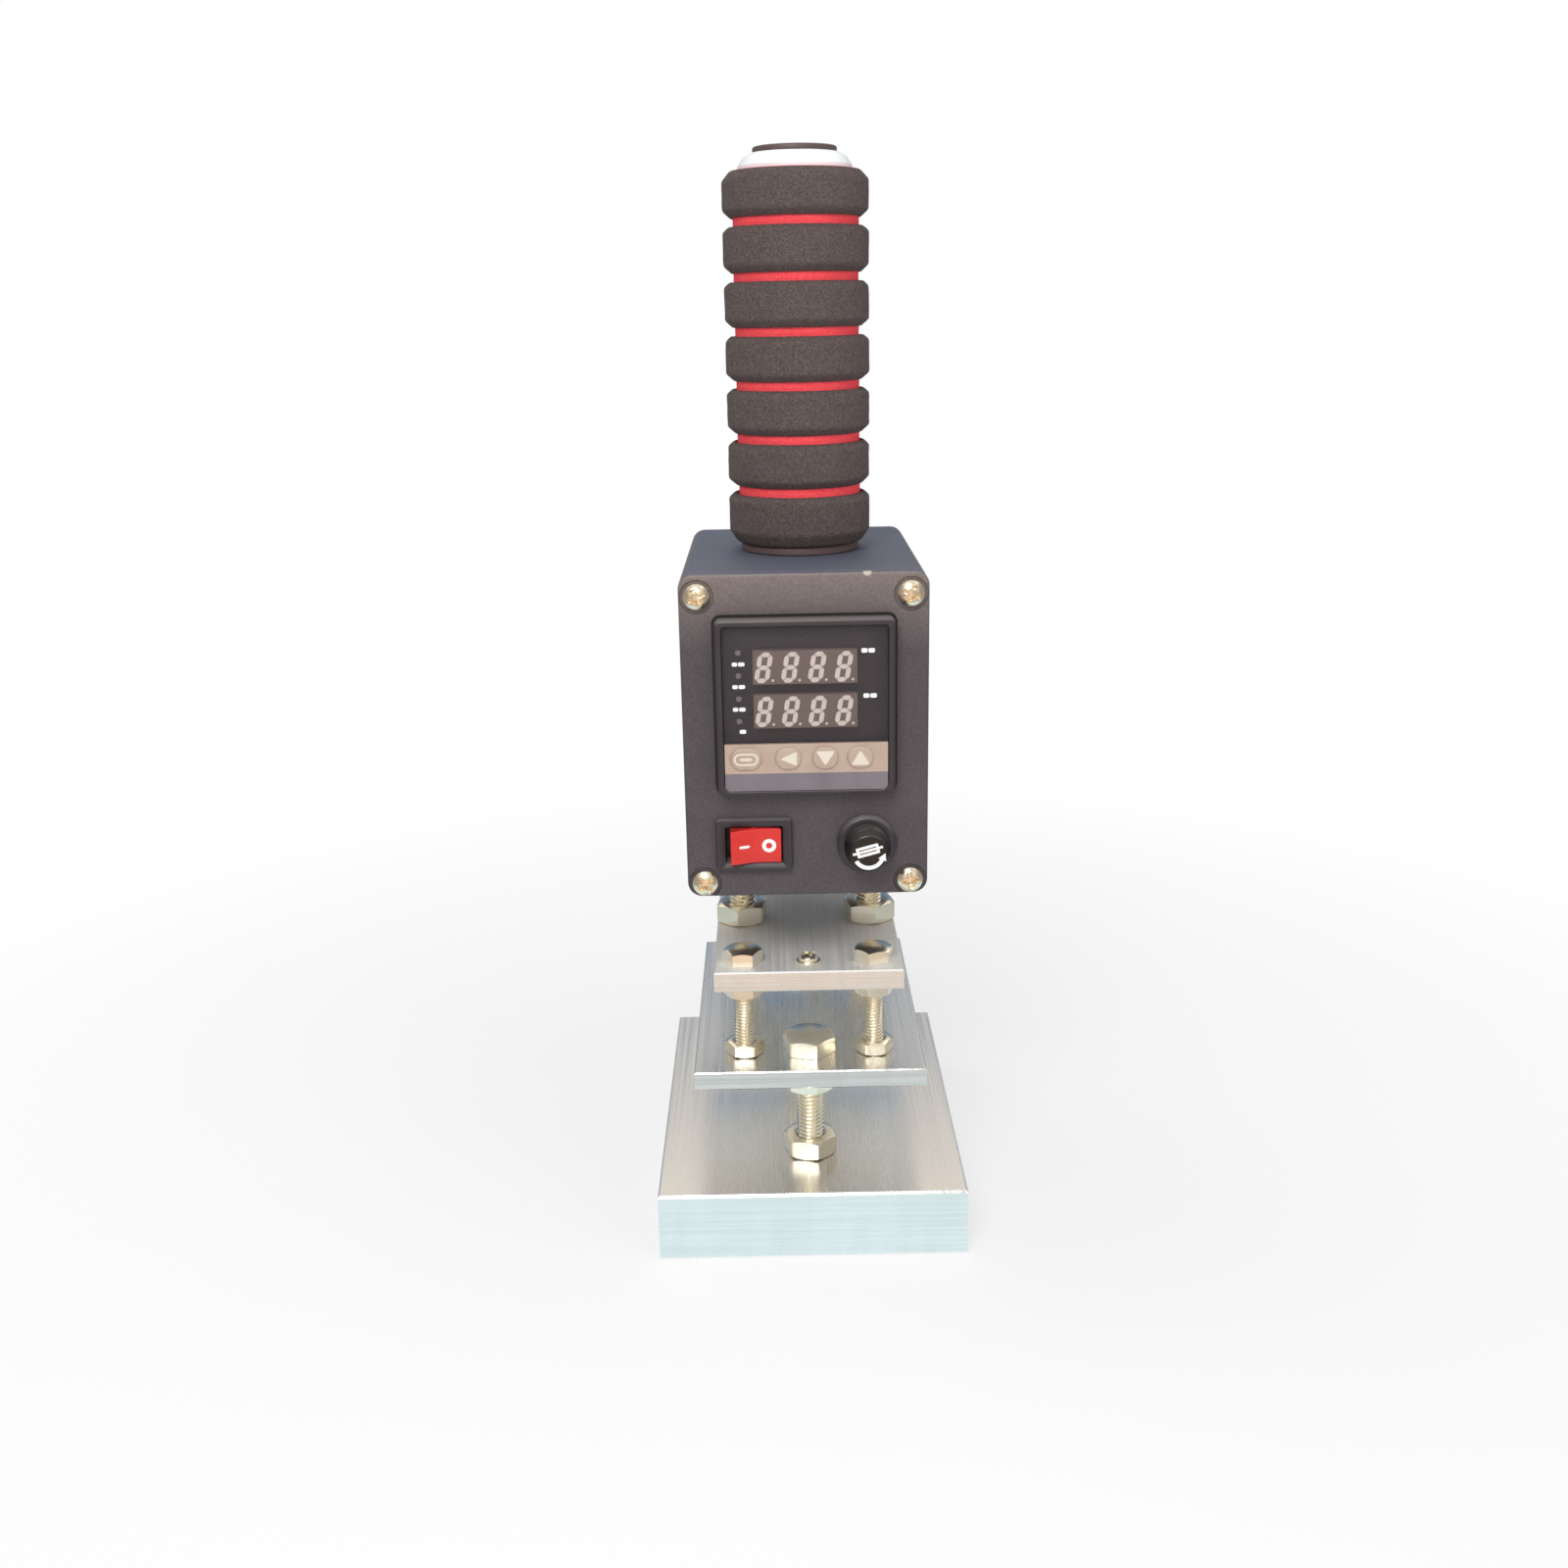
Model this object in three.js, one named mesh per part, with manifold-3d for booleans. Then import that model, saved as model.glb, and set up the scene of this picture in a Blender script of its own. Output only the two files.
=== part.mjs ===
// Hand-held hot stamping machine: a heated aluminium block hangs under two plates and an
// instrument box, with a foam grip on top. Millimetres, +Z up. The origin is the centre of
// the block's heated face, and the instrument panel faces -Y.
import * as THREE from "three";
import { mergeVertices } from "three/addons/utils/BufferGeometryUtils.js";
import Module from "manifold-3d";

const wasm = await Module();
wasm.setup();

// Gaps between pieces
const SEAT = 0.1; // between two pieces that rest on each other
const FIT = 0.2; // all round a piece that drops into a hole or pocket

// Metric fasteners: shank diameter, width over flats, head height and nut height
const M8 = { shank: 8, flats: 14, head: 5, nut: 6 };
const M6 = { shank: 6, flats: 10, head: 4, nut: 4 };
const HEX_CHAMFER = 0.55; // how far a hexagon's corners are turned off, of their height

// Heated block, with a blind bore for each cartridge heater and for the probe
const BLOCK_W = 88.5;
const BLOCK_D = 122;
const BLOCK_H = 20;
const BLOCK_EDGE = 0.6;
const HEATER_DIA = 12;
const HEATER_LENGTH = 101;
const HEATER_PITCH = 48;
const HEATER_STICK_OUT = 3;
const PROBE_DIA = 6;
const PROBE_DEPTH = 30;
const PROBE_X = 10;
const PROBE_HEAD = 4;
const DIE_HOLE_DIA = 4.2;
const DIE_HOLE_DEPTH = 10;
const DIE_HOLE_INSET_X = 10.25;
const DIE_HOLE_INSET_Y = 13;

// Plates between the block and the box, and the clear heights between them
const LOWER_GAP = 27.5;
const LOWER_W = 66.5;
const LOWER_D = 100;
const LOWER_T = 5.5;
const UPPER_GAP = 22.5;
const UPPER_W = 54;
const UPPER_D = 90;
const UPPER_T = 6;
const BOX_GAP = 23.5;
const PLATE_EDGE = 0.4;

// Where the bolts stand
const BLOCK_BOLT_INSET = 14.5; // from the lower plate's front and rear edges
const BLOCK_BOLT_DEPTH = 12; // into the block
const BLOCK_BOLT_TURN = 15; // degrees that the hexagons are turned
const COLUMN_INSET_X = 8.2; // from the upper plate's edges
const COLUMN_INSET_Y = 8.5;
const COLUMN_TURNS = [30, -15, 12, 40]; // each bolt's hexagons, in the order of the places
const COLUMN_JAM_TURNS = [30, 33, -8, 20];
const CARRIER_INSET_X = 7.5;
const CARRIER_Y = -3;
const CARRIER_TURNS = [-9, 14];
const BOLT_TIP = 2; // a shank's end past the plate that it is screwed through
const EARTH_INSET = 7;
const EARTH_DIA = 4;
const EARTH_HEAD_DIA = 5.6;
const EARTH_WASHER_DIA = 7;
const EARTH_WASHER_T = 0.8;
const EARTH_HEAD_H = 2.9;

// Cast box and the panel screwed to its open front
const BOX_W = 66.5;
const BOX_D = 92; // with the panel
const BOX_H = 90;
const BOX_WALL = 3;
const BOX_CORNER = 4;
const PANEL_T = 3.5;
const PANEL_EDGE = 0.7;
const BOX_EDGE = 0.8;
const POST_R = 3.6;
const POST_LENGTH = 24;
const SCREW_INSET_X = 4.85;
const SCREW_INSET_TOP = 6;
const SCREW_INSET_BOTTOM = 4;
const SCREW_DIA = 3;
const SCREW_LENGTH = 12;
const SCREW_HEAD_DIA = 7;
const SCREW_HEAD_H = 2.4;
const SCREW_RECESS_DIA = 9;
const SCREW_RECESS = 0.8;
const SCREW_SHOULDER = 0.45; // height of the head's straight side, of its whole height
const SCREW_TURNS = [25, -20, 40, 10]; // degrees that the crosses are turned

// Temperature meter
const METER_SIDE = 48;
const METER_PROUD = 5;
const METER_BODY = 44.6;
const METER_DEPTH = 78; // behind the panel's front face
const METER_DROP = BOX_H * 0.394; // its centre below the panel's top edge
const METER_FRAME = 1.9;
const METER_FRAME_BELOW = 1.1;
const METER_POCKET = 1.5;
const METER_CORNER = 1.6;
const METER_EDGE = 0.6;
const DISPLAY_WELL = 2.5; // behind the pocket's floor
const WINDOW_H = 31.7;
const WINDOW_T = 1.3;
const WINDOW_LEDGE = 1.2;
const DISPLAY_W = 29;
const DISPLAY_H = 9.7;
const DISPLAY_DROPS = [12.7, 25]; // each display's centre below the bezel's top edge
const FASCIA_T = 1.2;
const KEY_LIP = 0.7; // a key's face past the fascia
const KEY_DROP = 37.7; // the keys' centre below the bezel's top edge
const KEY_H = 6;
const KEY_FLANGE = 0.6;
const KEY_FLANGE_T = 0.9;
const KEY_EDGE = 0.3;
const KEY_TRAVEL = 0.8;
const KEYS = [
  { name: "meter_key_function", x: -16.2, width: 8.2 },
  { name: "meter_key_shift", x: -4.8, width: 6.8 },
  { name: "meter_key_down", x: 5.1, width: 6.8 },
  { name: "meter_key_up", x: 14.5, width: 6.8 },
];
const CLAMP_SIDE = 50;
const CLAMP_DEPTH = 10;

// Rocker switch
const SWITCH_X = -14.6;
const SWITCH_RISE = BOX_H * 0.17; // its centre above the panel's bottom edge
const SWITCH_W = 21;
const SWITCH_H = 15;
const SWITCH_PROUD = 2;
const SWITCH_BODY_W = 18.8;
const SWITCH_BODY_H = 12.8;
const SWITCH_DEPTH = 14;
const SWITCH_TAB = 6.5;
const SWITCH_TAB_W = 4.8;
const SWITCH_CORNER = 1;
const SWITCH_EDGE = 0.4;
const TAB_T = 0.8;
const ROCKER_HALF_W = 7;
const ROCKER_H = 9.8;
const ROCKER_CREST = 2.1; // the middle of the rocker in front of its pivot
const ROCKER_ANGLE = 10; // degrees that each half slopes
const ROCKER_PIN_DIA = 2;
const ROCKER_PIN = 1.2;
const ROCKER_ROOM = 0.75; // past its ends and under it, for the tilt
const ROCKER_EDGE = 0.3;

// Fuse holder
const FUSE_X = 16.4;
const FUSE_RISE = BOX_H / 6;
const FUSE_RING_DIA = 16.5;
const FUSE_RING_T = 2;
const FUSE_BARREL_DIA = 12;
const FUSE_BARREL = 33.5; // behind the panel's front face
const FUSE_BORE_DIA = 8.8;
const FUSE_NUT_FLATS = 15;
const FUSE_NUT_T = 3;
const FUSE_TAB = 6;
const FUSE_TAB_W = 4.8;
const GLASS_DIA = 5.2;
const GLASS_LENGTH = 20;
const GLASS_CAP = 5;
const GLASS_BEHIND = 0.5; // the fuse's front end behind the panel's face
const CAP_BASE_DIA = 12.6;
const CAP_BASE = 2.2;
const CAP_FACE_DIA = 10.6;
const CAP_STICK_OUT = 8;
const CAP_SLEEVE_DIA = 8.2;
const CAP_SLEEVE = 10;

// Cable gland for the mains cord, and the grommet where the heater leads enter
const GLAND_X = -14;
const GLAND_RISE = 15;
const GLAND_THREAD_DIA = 12;
const GLAND_BORE_DIA = 7;
const GLAND_FLATS = 15;
const GLAND_FLANGE = 4;
const GLAND_NUT = 10;
const GLAND_INSIDE = 5;
const GLAND_ENGAGED = 0.6; // share of the nut's height that is screwed on
const GLAND_TAPER = 3;
const LEAD_ENTRY_X = 14;
const LEAD_ENTRY_RISE = 13;
const TRUNK_DIA = 7;
const BRANCH_DIA = 4.6;
const PROBE_LEAD_DIA = 3.6;
const GROMMET_DIA = 12;
const GROMMET_NECK_DIA = 9;
const GROMMET_LIP = 1.8;
const TRUNK_BACK = 10; // the leads' run behind the block
const TRUNK_RISE = 10; // the trunk's lower end above the heaters' axis
const BRANCH_JOIN = 18; // where the heater branches join it, above the same axis
const PROBE_LEAD_JOIN = 24;
const LEAD_GAP = 0.3; // between a sleeve's end and the piece that it comes from

// Handle: a tube between a flange and a cap, pulled together by one long bolt
const FLANGE_DIA = 33.5;
const FLANGE_T = 2.5;
const TUBE_DIA = 27;
const TUBE_BORE_DIA = 21;
const SPIGOT = 12;
const GRIP_H = 100;
const GRIP_DIA = 40.4;
const GRIP_LAYER_DIA = 34.8;
const RING_H = 12.05;
const GROOVE_H = 2.3;
const RING_COUNT = 7; // the lowest ring takes the rest of the grip's height
const RING_SLANT = 2.3; // how far a ring's slanted lower corner goes in
const RING_CORNER = 2.3; // and how high it is
const UPPER_SLANT = 1.6;
const UPPER_CORNER = 1.7;
const TOP_CORNER = 2.8; // height of the whole grip's own corners
const BOTTOM_CORNER = 3.6;
const CAP_DIA = 31.3;
const CAP_RISE = 4.5;
const CAP_TOP_DIA = 24;
const PLUG_DIA = 23;
const PLUG_T = 1.6;
const TIE_HEAD_DIA = 13;
const TIE_HEAD_H = 8;
const TIE_SINK = 1; // the bolt's head below the cap's top
const TIE_SOCKET_DIA = 6.8; // over the corners
const TIE_SOCKET = 5;

// Levels and faces worked out from the sizes above
const blockTop = BLOCK_H;
const lowerBottom = blockTop + LOWER_GAP;
const lowerTop = lowerBottom + LOWER_T;
const upperBottom = lowerTop + UPPER_GAP;
const upperTop = upperBottom + UPPER_T;
const boxBottom = upperTop + BOX_GAP;
const boxTop = boxBottom + BOX_H;
const gripBottom = boxTop + FLANGE_T;
const gripTop = gripBottom + GRIP_H;
const capTop = gripTop + CAP_RISE;
const panelFront = -BOX_D / 2;
const panelBack = panelFront + PANEL_T;
const boxBack = BOX_D / 2;
const boxMiddle = (boxBottom + boxTop) / 2;
const floorTop = boxBottom + BOX_WALL;
const meterZ = boxTop - METER_DROP;
const meterFront = panelFront - METER_PROUD;
const switchZ = boxBottom + SWITCH_RISE;
const fuseZ = boxBottom + FUSE_RISE;
const glandZ = boxBottom + GLAND_RISE;
const leadEntryZ = boxBottom + LEAD_ENTRY_RISE;
const heaterZ = BLOCK_H / 2;
const blockBack = BLOCK_D / 2;

// Materials
const paint = (colour, roughness, metalness) =>
  new THREE.MeshStandardMaterial({ color: colour, roughness, metalness });
const aluminium = paint("#cfd0cf", 0.35, 0.9);
const steel = paint("#d8d0be", 0.3, 1);
const castBox = paint("#5b565c", 0.55, 0.2);
const blackPlastic = paint("#1d1c20", 0.4, 0);
const smokedWindow = paint("#26242a", 0.12, 0);
const fasciaTan = paint("#c3aa96", 0.5, 0);
const redPlastic = paint("#e0322e", 0.35, 0);
const redFoam = paint("#d2323c", 0.9, 0);
const blackFoam = paint("#4a4442", 0.95, 0);
const whitePlastic = paint("#e9ecef", 0.4, 0);
const glassMix = paint("#cfd8d6", 0.1, 0);
const sleeving = paint("#d9d4c6", 0.8, 0);

const group = new THREE.Group();

// A closed geometry as a solid
function solid(geometry) {
  const loose = geometry.index ? geometry.toNonIndexed() : geometry.clone();
  loose.deleteAttribute("normal");
  loose.deleteAttribute("uv");
  const merged = mergeVertices(loose, 1e-4);
  return new wasm.Manifold(
    new wasm.Mesh({
      numProp: 3,
      vertProperties: merged.attributes.position.array,
      triVerts: new Uint32Array(merged.index.array),
    }),
  );
}

// A solid's mesh, added to the group under its node's name
function add(name, body, material) {
  const { vertProperties, triVerts } = body.getMesh();
  const geometry = new THREE.BufferGeometry();
  geometry.setAttribute("position", new THREE.BufferAttribute(vertProperties, 3));
  geometry.setIndex(new THREE.BufferAttribute(triVerts, 1));
  geometry.computeVertexNormals();
  const mesh = new THREE.Mesh(geometry, material);
  mesh.name = name;
  group.add(mesh);
}

// A profile of [radius, height] points turned about the Z axis
function turned(points, segments) {
  const profile = points.map(([r, z]) => new THREE.Vector2(r, z));
  return solid(new THREE.LatheGeometry(profile, segments).rotateX(Math.PI / 2));
}

// A round bar from one height to another, with an optional chamfer at its ends
function bar(radius, from, to, segments = 12, chamfer = 0) {
  const points = [
    [0, from],
    [radius - chamfer, from],
  ];
  if (chamfer) {
    points.push([radius, from + chamfer], [radius, to - chamfer]);
  }
  points.push([radius - chamfer, to], [0, to]);
  return turned(points, segments);
}

// A tube from one height to another
function tube(outer, inner, from, to, segments = 28) {
  return turned(
    [
      [inner, from],
      [outer, from],
      [outer, to],
      [inner, to],
      [inner, from],
    ],
    segments,
  );
}

// A solid built along +Z, laid so that its height runs out of the panel, towards -Y
function facingFront(body, x, z) {
  return body.rotate([90, 0, 0]).translate([x, 0, z]);
}

// A solid built along +Z, laid so that its height runs to the rear, along +Y
function facingRear(body, x, z) {
  return body.rotate([-90, 0, 0]).translate([x, 0, z]);
}

// A rectangle with round corners, centred on the origin
function roundedRectangle(width, height, radius) {
  const w = width / 2;
  const h = height / 2;
  const shape = new THREE.Shape();
  shape.moveTo(-w + radius, -h);
  shape.lineTo(w - radius, -h);
  shape.absarc(w - radius, -h + radius, radius, -Math.PI / 2, 0);
  shape.lineTo(w, h - radius);
  shape.absarc(w - radius, h - radius, radius, 0, Math.PI / 2);
  shape.lineTo(-w + radius, h);
  shape.absarc(-w + radius, h - radius, radius, Math.PI / 2, Math.PI);
  shape.lineTo(-w, -h + radius);
  shape.absarc(-w + radius, -h + radius, radius, Math.PI, Math.PI * 1.5);
  return shape;
}

// A rounded rectangle's prism from one height to another, bevelled at both ends
function roundedPrism(width, height, radius, from, to, edge = 0, steps = 2) {
  const outline = roundedRectangle(width, height, radius);
  const geometry = new THREE.ExtrudeGeometry(outline, {
    depth: to - from - 2 * edge,
    curveSegments: steps,
    bevelEnabled: edge > 0,
    bevelThickness: edge,
    bevelSize: edge,
    bevelOffset: -edge,
    bevelSegments: 1,
  });
  return solid(geometry.translate(0, 0, from + edge));
}

// A plain box between two corners
function block(x0, x1, y0, y1, z0, z1) {
  const geometry = new THREE.BoxGeometry(x1 - x0, y1 - y0, z1 - z0);
  return solid(geometry.translate((x0 + x1) / 2, (y0 + y1) / 2, (z0 + z1) / 2));
}

// A flat plate with a small chamfer along every edge
function plate(width, depth, from, to, edge) {
  const w = width / 2;
  const d = depth / 2;
  const outline = new THREE.Shape();
  outline.moveTo(-w, -d);
  outline.lineTo(w, -d);
  outline.lineTo(w, d);
  outline.lineTo(-w, d);
  const geometry = new THREE.ExtrudeGeometry(outline, {
    depth: to - from - 2 * edge,
    bevelEnabled: true,
    bevelThickness: edge,
    bevelSize: edge,
    bevelOffset: -edge,
    bevelSegments: 1,
  });
  return solid(geometry.translate(0, 0, from + edge));
}

// A hexagon prism whose corners are turned off at the ends that show
function hexagon(flats, from, to, chamferBottom, chamferTop) {
  const corner = flats / Math.sqrt(3);
  const drop = (corner - flats / 2) * HEX_CHAMFER;
  const prism = new THREE.CylinderGeometry(corner, corner, to - from, 6);
  prism.rotateX(Math.PI / 2).translate(0, 0, (from + to) / 2);
  const low = chamferBottom ? flats / 2 - 0.1 : corner + 0.5;
  const high = chamferTop ? flats / 2 - 0.1 : corner + 0.5;
  const points = [
    [0, from],
    [low, from],
  ];
  if (chamferBottom) points.push([corner + 0.1, from + drop]);
  if (chamferTop) points.push([corner + 0.1, to - drop]);
  points.push([high, to], [0, to]);
  return solid(prism).intersect(turned(points, 18));
}

// A hexagon-head bolt: the head stands on seatZ, and the shank runs down to tipZ
function hexBolt(size, seatZ, tipZ) {
  const head = hexagon(size.flats, seatZ, seatZ + size.head, false, true);
  const shank = bar(size.shank / 2, tipZ, seatZ + size.head / 2, 12, size.shank / 12);
  return head.add(shank);
}

// A nut screwed on a bolt's shank, as part of the bolt
function clampNut(size, from) {
  return hexagon(size.flats, from, from + size.nut, true, true);
}

// A loose nut round a shank, resting on a plate's top
function jamNut(size, seatZ) {
  const from = seatZ + SEAT;
  const nut = hexagon(size.flats, from, from + size.nut, true, true);
  return nut.subtract(bar(size.shank / 2 + FIT, from - 1, from + size.nut + 1));
}

function heaterBlock() {
  let body = plate(BLOCK_W, BLOCK_D, 0, BLOCK_H, BLOCK_EDGE);
  const boreR = HEATER_DIA / 2 + FIT;
  for (const side of [-1, 1]) {
    const start = blockBack + HEATER_STICK_OUT - HEATER_LENGTH - SEAT;
    const bore = bar(boreR, start, blockBack + 1, 16);
    body = body.subtract(facingRear(bore, (side * HEATER_PITCH) / 2, heaterZ));
    for (const end of [-1, 1]) {
      const hole = bar(DIE_HOLE_DIA / 2, -1, DIE_HOLE_DEPTH, 10);
      const x = side * (BLOCK_W / 2 - DIE_HOLE_INSET_X);
      const y = end * (BLOCK_D / 2 - DIE_HOLE_INSET_Y);
      body = body.subtract(hole.translate([x, y, 0]));
    }
  }
  const probeBore = bar(PROBE_DIA / 2 + FIT, blockBack - PROBE_DEPTH - SEAT, blockBack + 1, 12);
  body = body.subtract(facingRear(probeBore, PROBE_X, heaterZ));
  for (const y of blockBoltPlaces()) {
    const hole = bar(M8.shank / 2 + FIT, blockTop - BLOCK_BOLT_DEPTH - SEAT, blockTop + 1);
    body = body.subtract(hole.translate([0, y, 0]));
  }
  add("heater_block", body, aluminium);
}

function blockBoltPlaces() {
  const y = LOWER_D / 2 - BLOCK_BOLT_INSET;
  return [-y, y];
}

function columnPlaces() {
  const x = UPPER_W / 2 - COLUMN_INSET_X;
  const y = UPPER_D / 2 - COLUMN_INSET_Y;
  return [
    { name: "front_left", x: -x, y: -y },
    { name: "front_right", x, y: -y },
    { name: "rear_left", x: -x, y },
    { name: "rear_right", x, y },
  ];
}

function carrierPlaces() {
  const x = UPPER_W / 2 - CARRIER_INSET_X;
  return [
    { name: "left", x: -x },
    { name: "right", x },
  ];
}

function cartridgeHeaters() {
  const start = blockBack + HEATER_STICK_OUT - HEATER_LENGTH;
  const end = blockBack + HEATER_STICK_OUT;
  for (const [name, side] of [["left", -1], ["right", 1]]) {
    const heater = bar(HEATER_DIA / 2, start, end, 16, 0.5);
    add("cartridge_heater_" + name, facingRear(heater, (side * HEATER_PITCH) / 2, heaterZ), steel);
  }
}

function thermocoupleProbe() {
  const stem = bar(PROBE_DIA / 2, blockBack - PROBE_DEPTH, blockBack + PROBE_HEAD / 2, 12);
  const head = hexagon(M6.flats, blockBack + SEAT, blockBack + SEAT + PROBE_HEAD, false, true);
  add("thermocouple_probe", facingRear(stem.add(head), PROBE_X, heaterZ), steel);
}

function plates() {
  let lower = plate(LOWER_W, LOWER_D, lowerBottom, lowerTop, PLATE_EDGE);
  for (const y of blockBoltPlaces()) {
    const hole = bar(M8.shank / 2 + FIT, lowerBottom - 1, lowerTop + 1);
    lower = lower.subtract(hole.translate([0, y, 0]));
  }
  let upper = plate(UPPER_W, UPPER_D, upperBottom, upperTop, PLATE_EDGE);
  for (const { x, y } of columnPlaces()) {
    const hole = bar(M6.shank / 2 + FIT, lowerBottom - 1, upperTop + 1).translate([x, y, 0]);
    lower = lower.subtract(hole);
    upper = upper.subtract(hole);
  }
  for (const { x } of carrierPlaces()) {
    const hole = bar(M8.shank / 2 + FIT, upperBottom - 1, upperTop + 1);
    upper = upper.subtract(hole.translate([x, CARRIER_Y, 0]));
  }
  const earthHole = bar(EARTH_DIA / 2 + FIT, upperBottom - 1, upperTop + 1, 12);
  upper = upper.subtract(earthHole.translate([0, EARTH_INSET - UPPER_D / 2, 0]));
  add("lower_plate", lower, aluminium);
  add("upper_plate", upper, aluminium);
}

// Bolts that hold the block under the lower plate
function blockBolts() {
  const names = ["front", "rear"];
  blockBoltPlaces().forEach((y, i) => {
    const bolt = hexBolt(M8, lowerTop + SEAT, blockTop - BLOCK_BOLT_DEPTH);
    const nut = clampNut(M8, lowerBottom - SEAT - M8.nut);
    const turn = [0, 0, BLOCK_BOLT_TURN];
    add("block_bolt_" + names[i], bolt.add(nut).rotate(turn).translate([0, y, 0]), steel);
    const jam = jamNut(M8, blockTop).rotate(turn).translate([0, y, 0]);
    add("block_jam_nut_" + names[i], jam, steel);
  });
}

// Columns that hold the lower plate under the upper one
function columnBolts() {
  columnPlaces().forEach(({ name, x, y }, i) => {
    const bolt = hexBolt(M6, upperTop + SEAT, lowerBottom - BOLT_TIP);
    const nut = clampNut(M6, upperBottom - SEAT - M6.nut);
    const body = bolt.add(nut).rotate([0, 0, COLUMN_TURNS[i]]);
    add("column_bolt_" + name, body.translate([x, y, 0]), steel);
    const jam = jamNut(M6, lowerTop).rotate([0, 0, COLUMN_JAM_TURNS[i]]);
    add("column_jam_nut_" + name, jam.translate([x, y, 0]), steel);
  });
}

// Bolts that hold the upper plate under the box
function carrierBolts() {
  carrierPlaces().forEach(({ name, x }, i) => {
    const turn = [0, 0, CARRIER_TURNS[i]];
    const bolt = hexBolt(M8, floorTop + SEAT, upperBottom - BOLT_TIP);
    const nut = clampNut(M8, boxBottom - SEAT - M8.nut);
    const body = bolt.add(nut).rotate(turn);
    add("carrier_bolt_" + name, body.translate([x, CARRIER_Y, 0]), steel);
    const jam = jamNut(M8, upperTop).rotate(turn);
    add("carrier_jam_nut_" + name, jam.translate([x, CARRIER_Y, 0]), steel);
  });
}

function earthScrew() {
  const seat = upperTop + SEAT;
  const washer = bar(EARTH_WASHER_DIA / 2, seat, seat + EARTH_WASHER_T, 16);
  const head = turned(
    [
      [0, seat],
      [EARTH_HEAD_DIA / 2, seat],
      [EARTH_HEAD_DIA / 2, seat + EARTH_HEAD_H - 0.9],
      [EARTH_HEAD_DIA / 2 - 0.8, seat + EARTH_HEAD_H - 0.2],
      [0, seat + EARTH_HEAD_H],
    ],
    16,
  );
  const shank = bar(EARTH_DIA / 2, upperBottom - BOLT_TIP, seat + 1, 12, 0.4);
  const screw = washer.add(head).add(shank);
  add("earth_screw", screw.translate([0, EARTH_INSET - UPPER_D / 2, 0]), steel);
}

function screwPlaces() {
  const x = BOX_W / 2 - SCREW_INSET_X;
  const top = boxTop - SCREW_INSET_TOP;
  const bottom = boxBottom + SCREW_INSET_BOTTOM;
  return [
    { name: "top_left", x: -x, z: top },
    { name: "top_right", x, z: top },
    { name: "bottom_left", x: -x, z: bottom },
    { name: "bottom_right", x, z: bottom },
  ];
}

function enclosure() {
  const front = -panelBack - SEAT;
  const outer = roundedPrism(BOX_W, BOX_H, BOX_CORNER, -boxBack, front + BOX_EDGE, BOX_EDGE)
    .trimByPlane([0, 0, -1], -front);
  const inner = roundedPrism(
    BOX_W - 2 * BOX_WALL,
    BOX_H - 2 * BOX_WALL,
    BOX_CORNER - BOX_WALL / 2,
    -boxBack + BOX_WALL,
    front + 1,
    0,
    1,
  );
  let body = facingFront(outer.subtract(inner), 0, boxMiddle);
  for (const { x, z } of screwPlaces()) {
    const post = bar(POST_R, front - POST_LENGTH, front, 12);
    body = body.add(facingFront(post, x, z));
  }
  for (const { x, z } of screwPlaces()) {
    const hole = bar(SCREW_DIA / 2 + FIT, front - SCREW_LENGTH, front + 1, 8);
    body = body.subtract(facingFront(hole, x, z));
  }
  for (const { x } of carrierPlaces()) {
    const hole = bar(M8.shank / 2 + FIT, boxBottom - 1, floorTop + 1);
    body = body.subtract(hole.translate([x, CARRIER_Y, 0]));
  }
  body = body.subtract(bar(M8.shank / 2 + FIT, boxTop - BOX_WALL - 1, boxTop + 1));
  const glandHole = bar(GLAND_THREAD_DIA / 2 + FIT, boxBack - BOX_WALL - 1, boxBack + 1);
  body = body.subtract(facingRear(glandHole, GLAND_X, glandZ));
  const leadHole = bar(GROMMET_NECK_DIA / 2 + FIT, boxBack - BOX_WALL - 1, boxBack + 1);
  body = body.subtract(facingRear(leadHole, LEAD_ENTRY_X, leadEntryZ));
  add("enclosure_body", body, castBox);
}

function frontPanel() {
  const outer = roundedPrism(BOX_W, BOX_H, BOX_CORNER, -panelBack, -panelFront, PANEL_EDGE);
  let body = facingFront(outer, 0, boxMiddle);
  const meterHalf = METER_BODY / 2 + FIT;
  const y0 = panelFront - 1;
  const y1 = panelBack + 1;
  body = body.subtract(
    block(-meterHalf, meterHalf, y0, y1, meterZ - meterHalf, meterZ + meterHalf),
  );
  const switchW = SWITCH_BODY_W / 2 + FIT;
  const switchH = SWITCH_BODY_H / 2 + FIT;
  body = body.subtract(
    block(SWITCH_X - switchW, SWITCH_X + switchW, y0, y1, switchZ - switchH, switchZ + switchH),
  );
  const fuseHole = bar(FUSE_BARREL_DIA / 2 + FIT, -y1, -y0, 16);
  body = body.subtract(facingFront(fuseHole, FUSE_X, fuseZ));
  for (const { x, z } of screwPlaces()) {
    const hole = bar(SCREW_DIA / 2 + FIT, -y1, -y0, 8);
    const recess = bar(SCREW_RECESS_DIA / 2, -panelFront - SCREW_RECESS, -y0, 14);
    body = body.subtract(facingFront(hole.add(recess), x, z));
  }
  add("front_panel", body, castBox);
}

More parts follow.
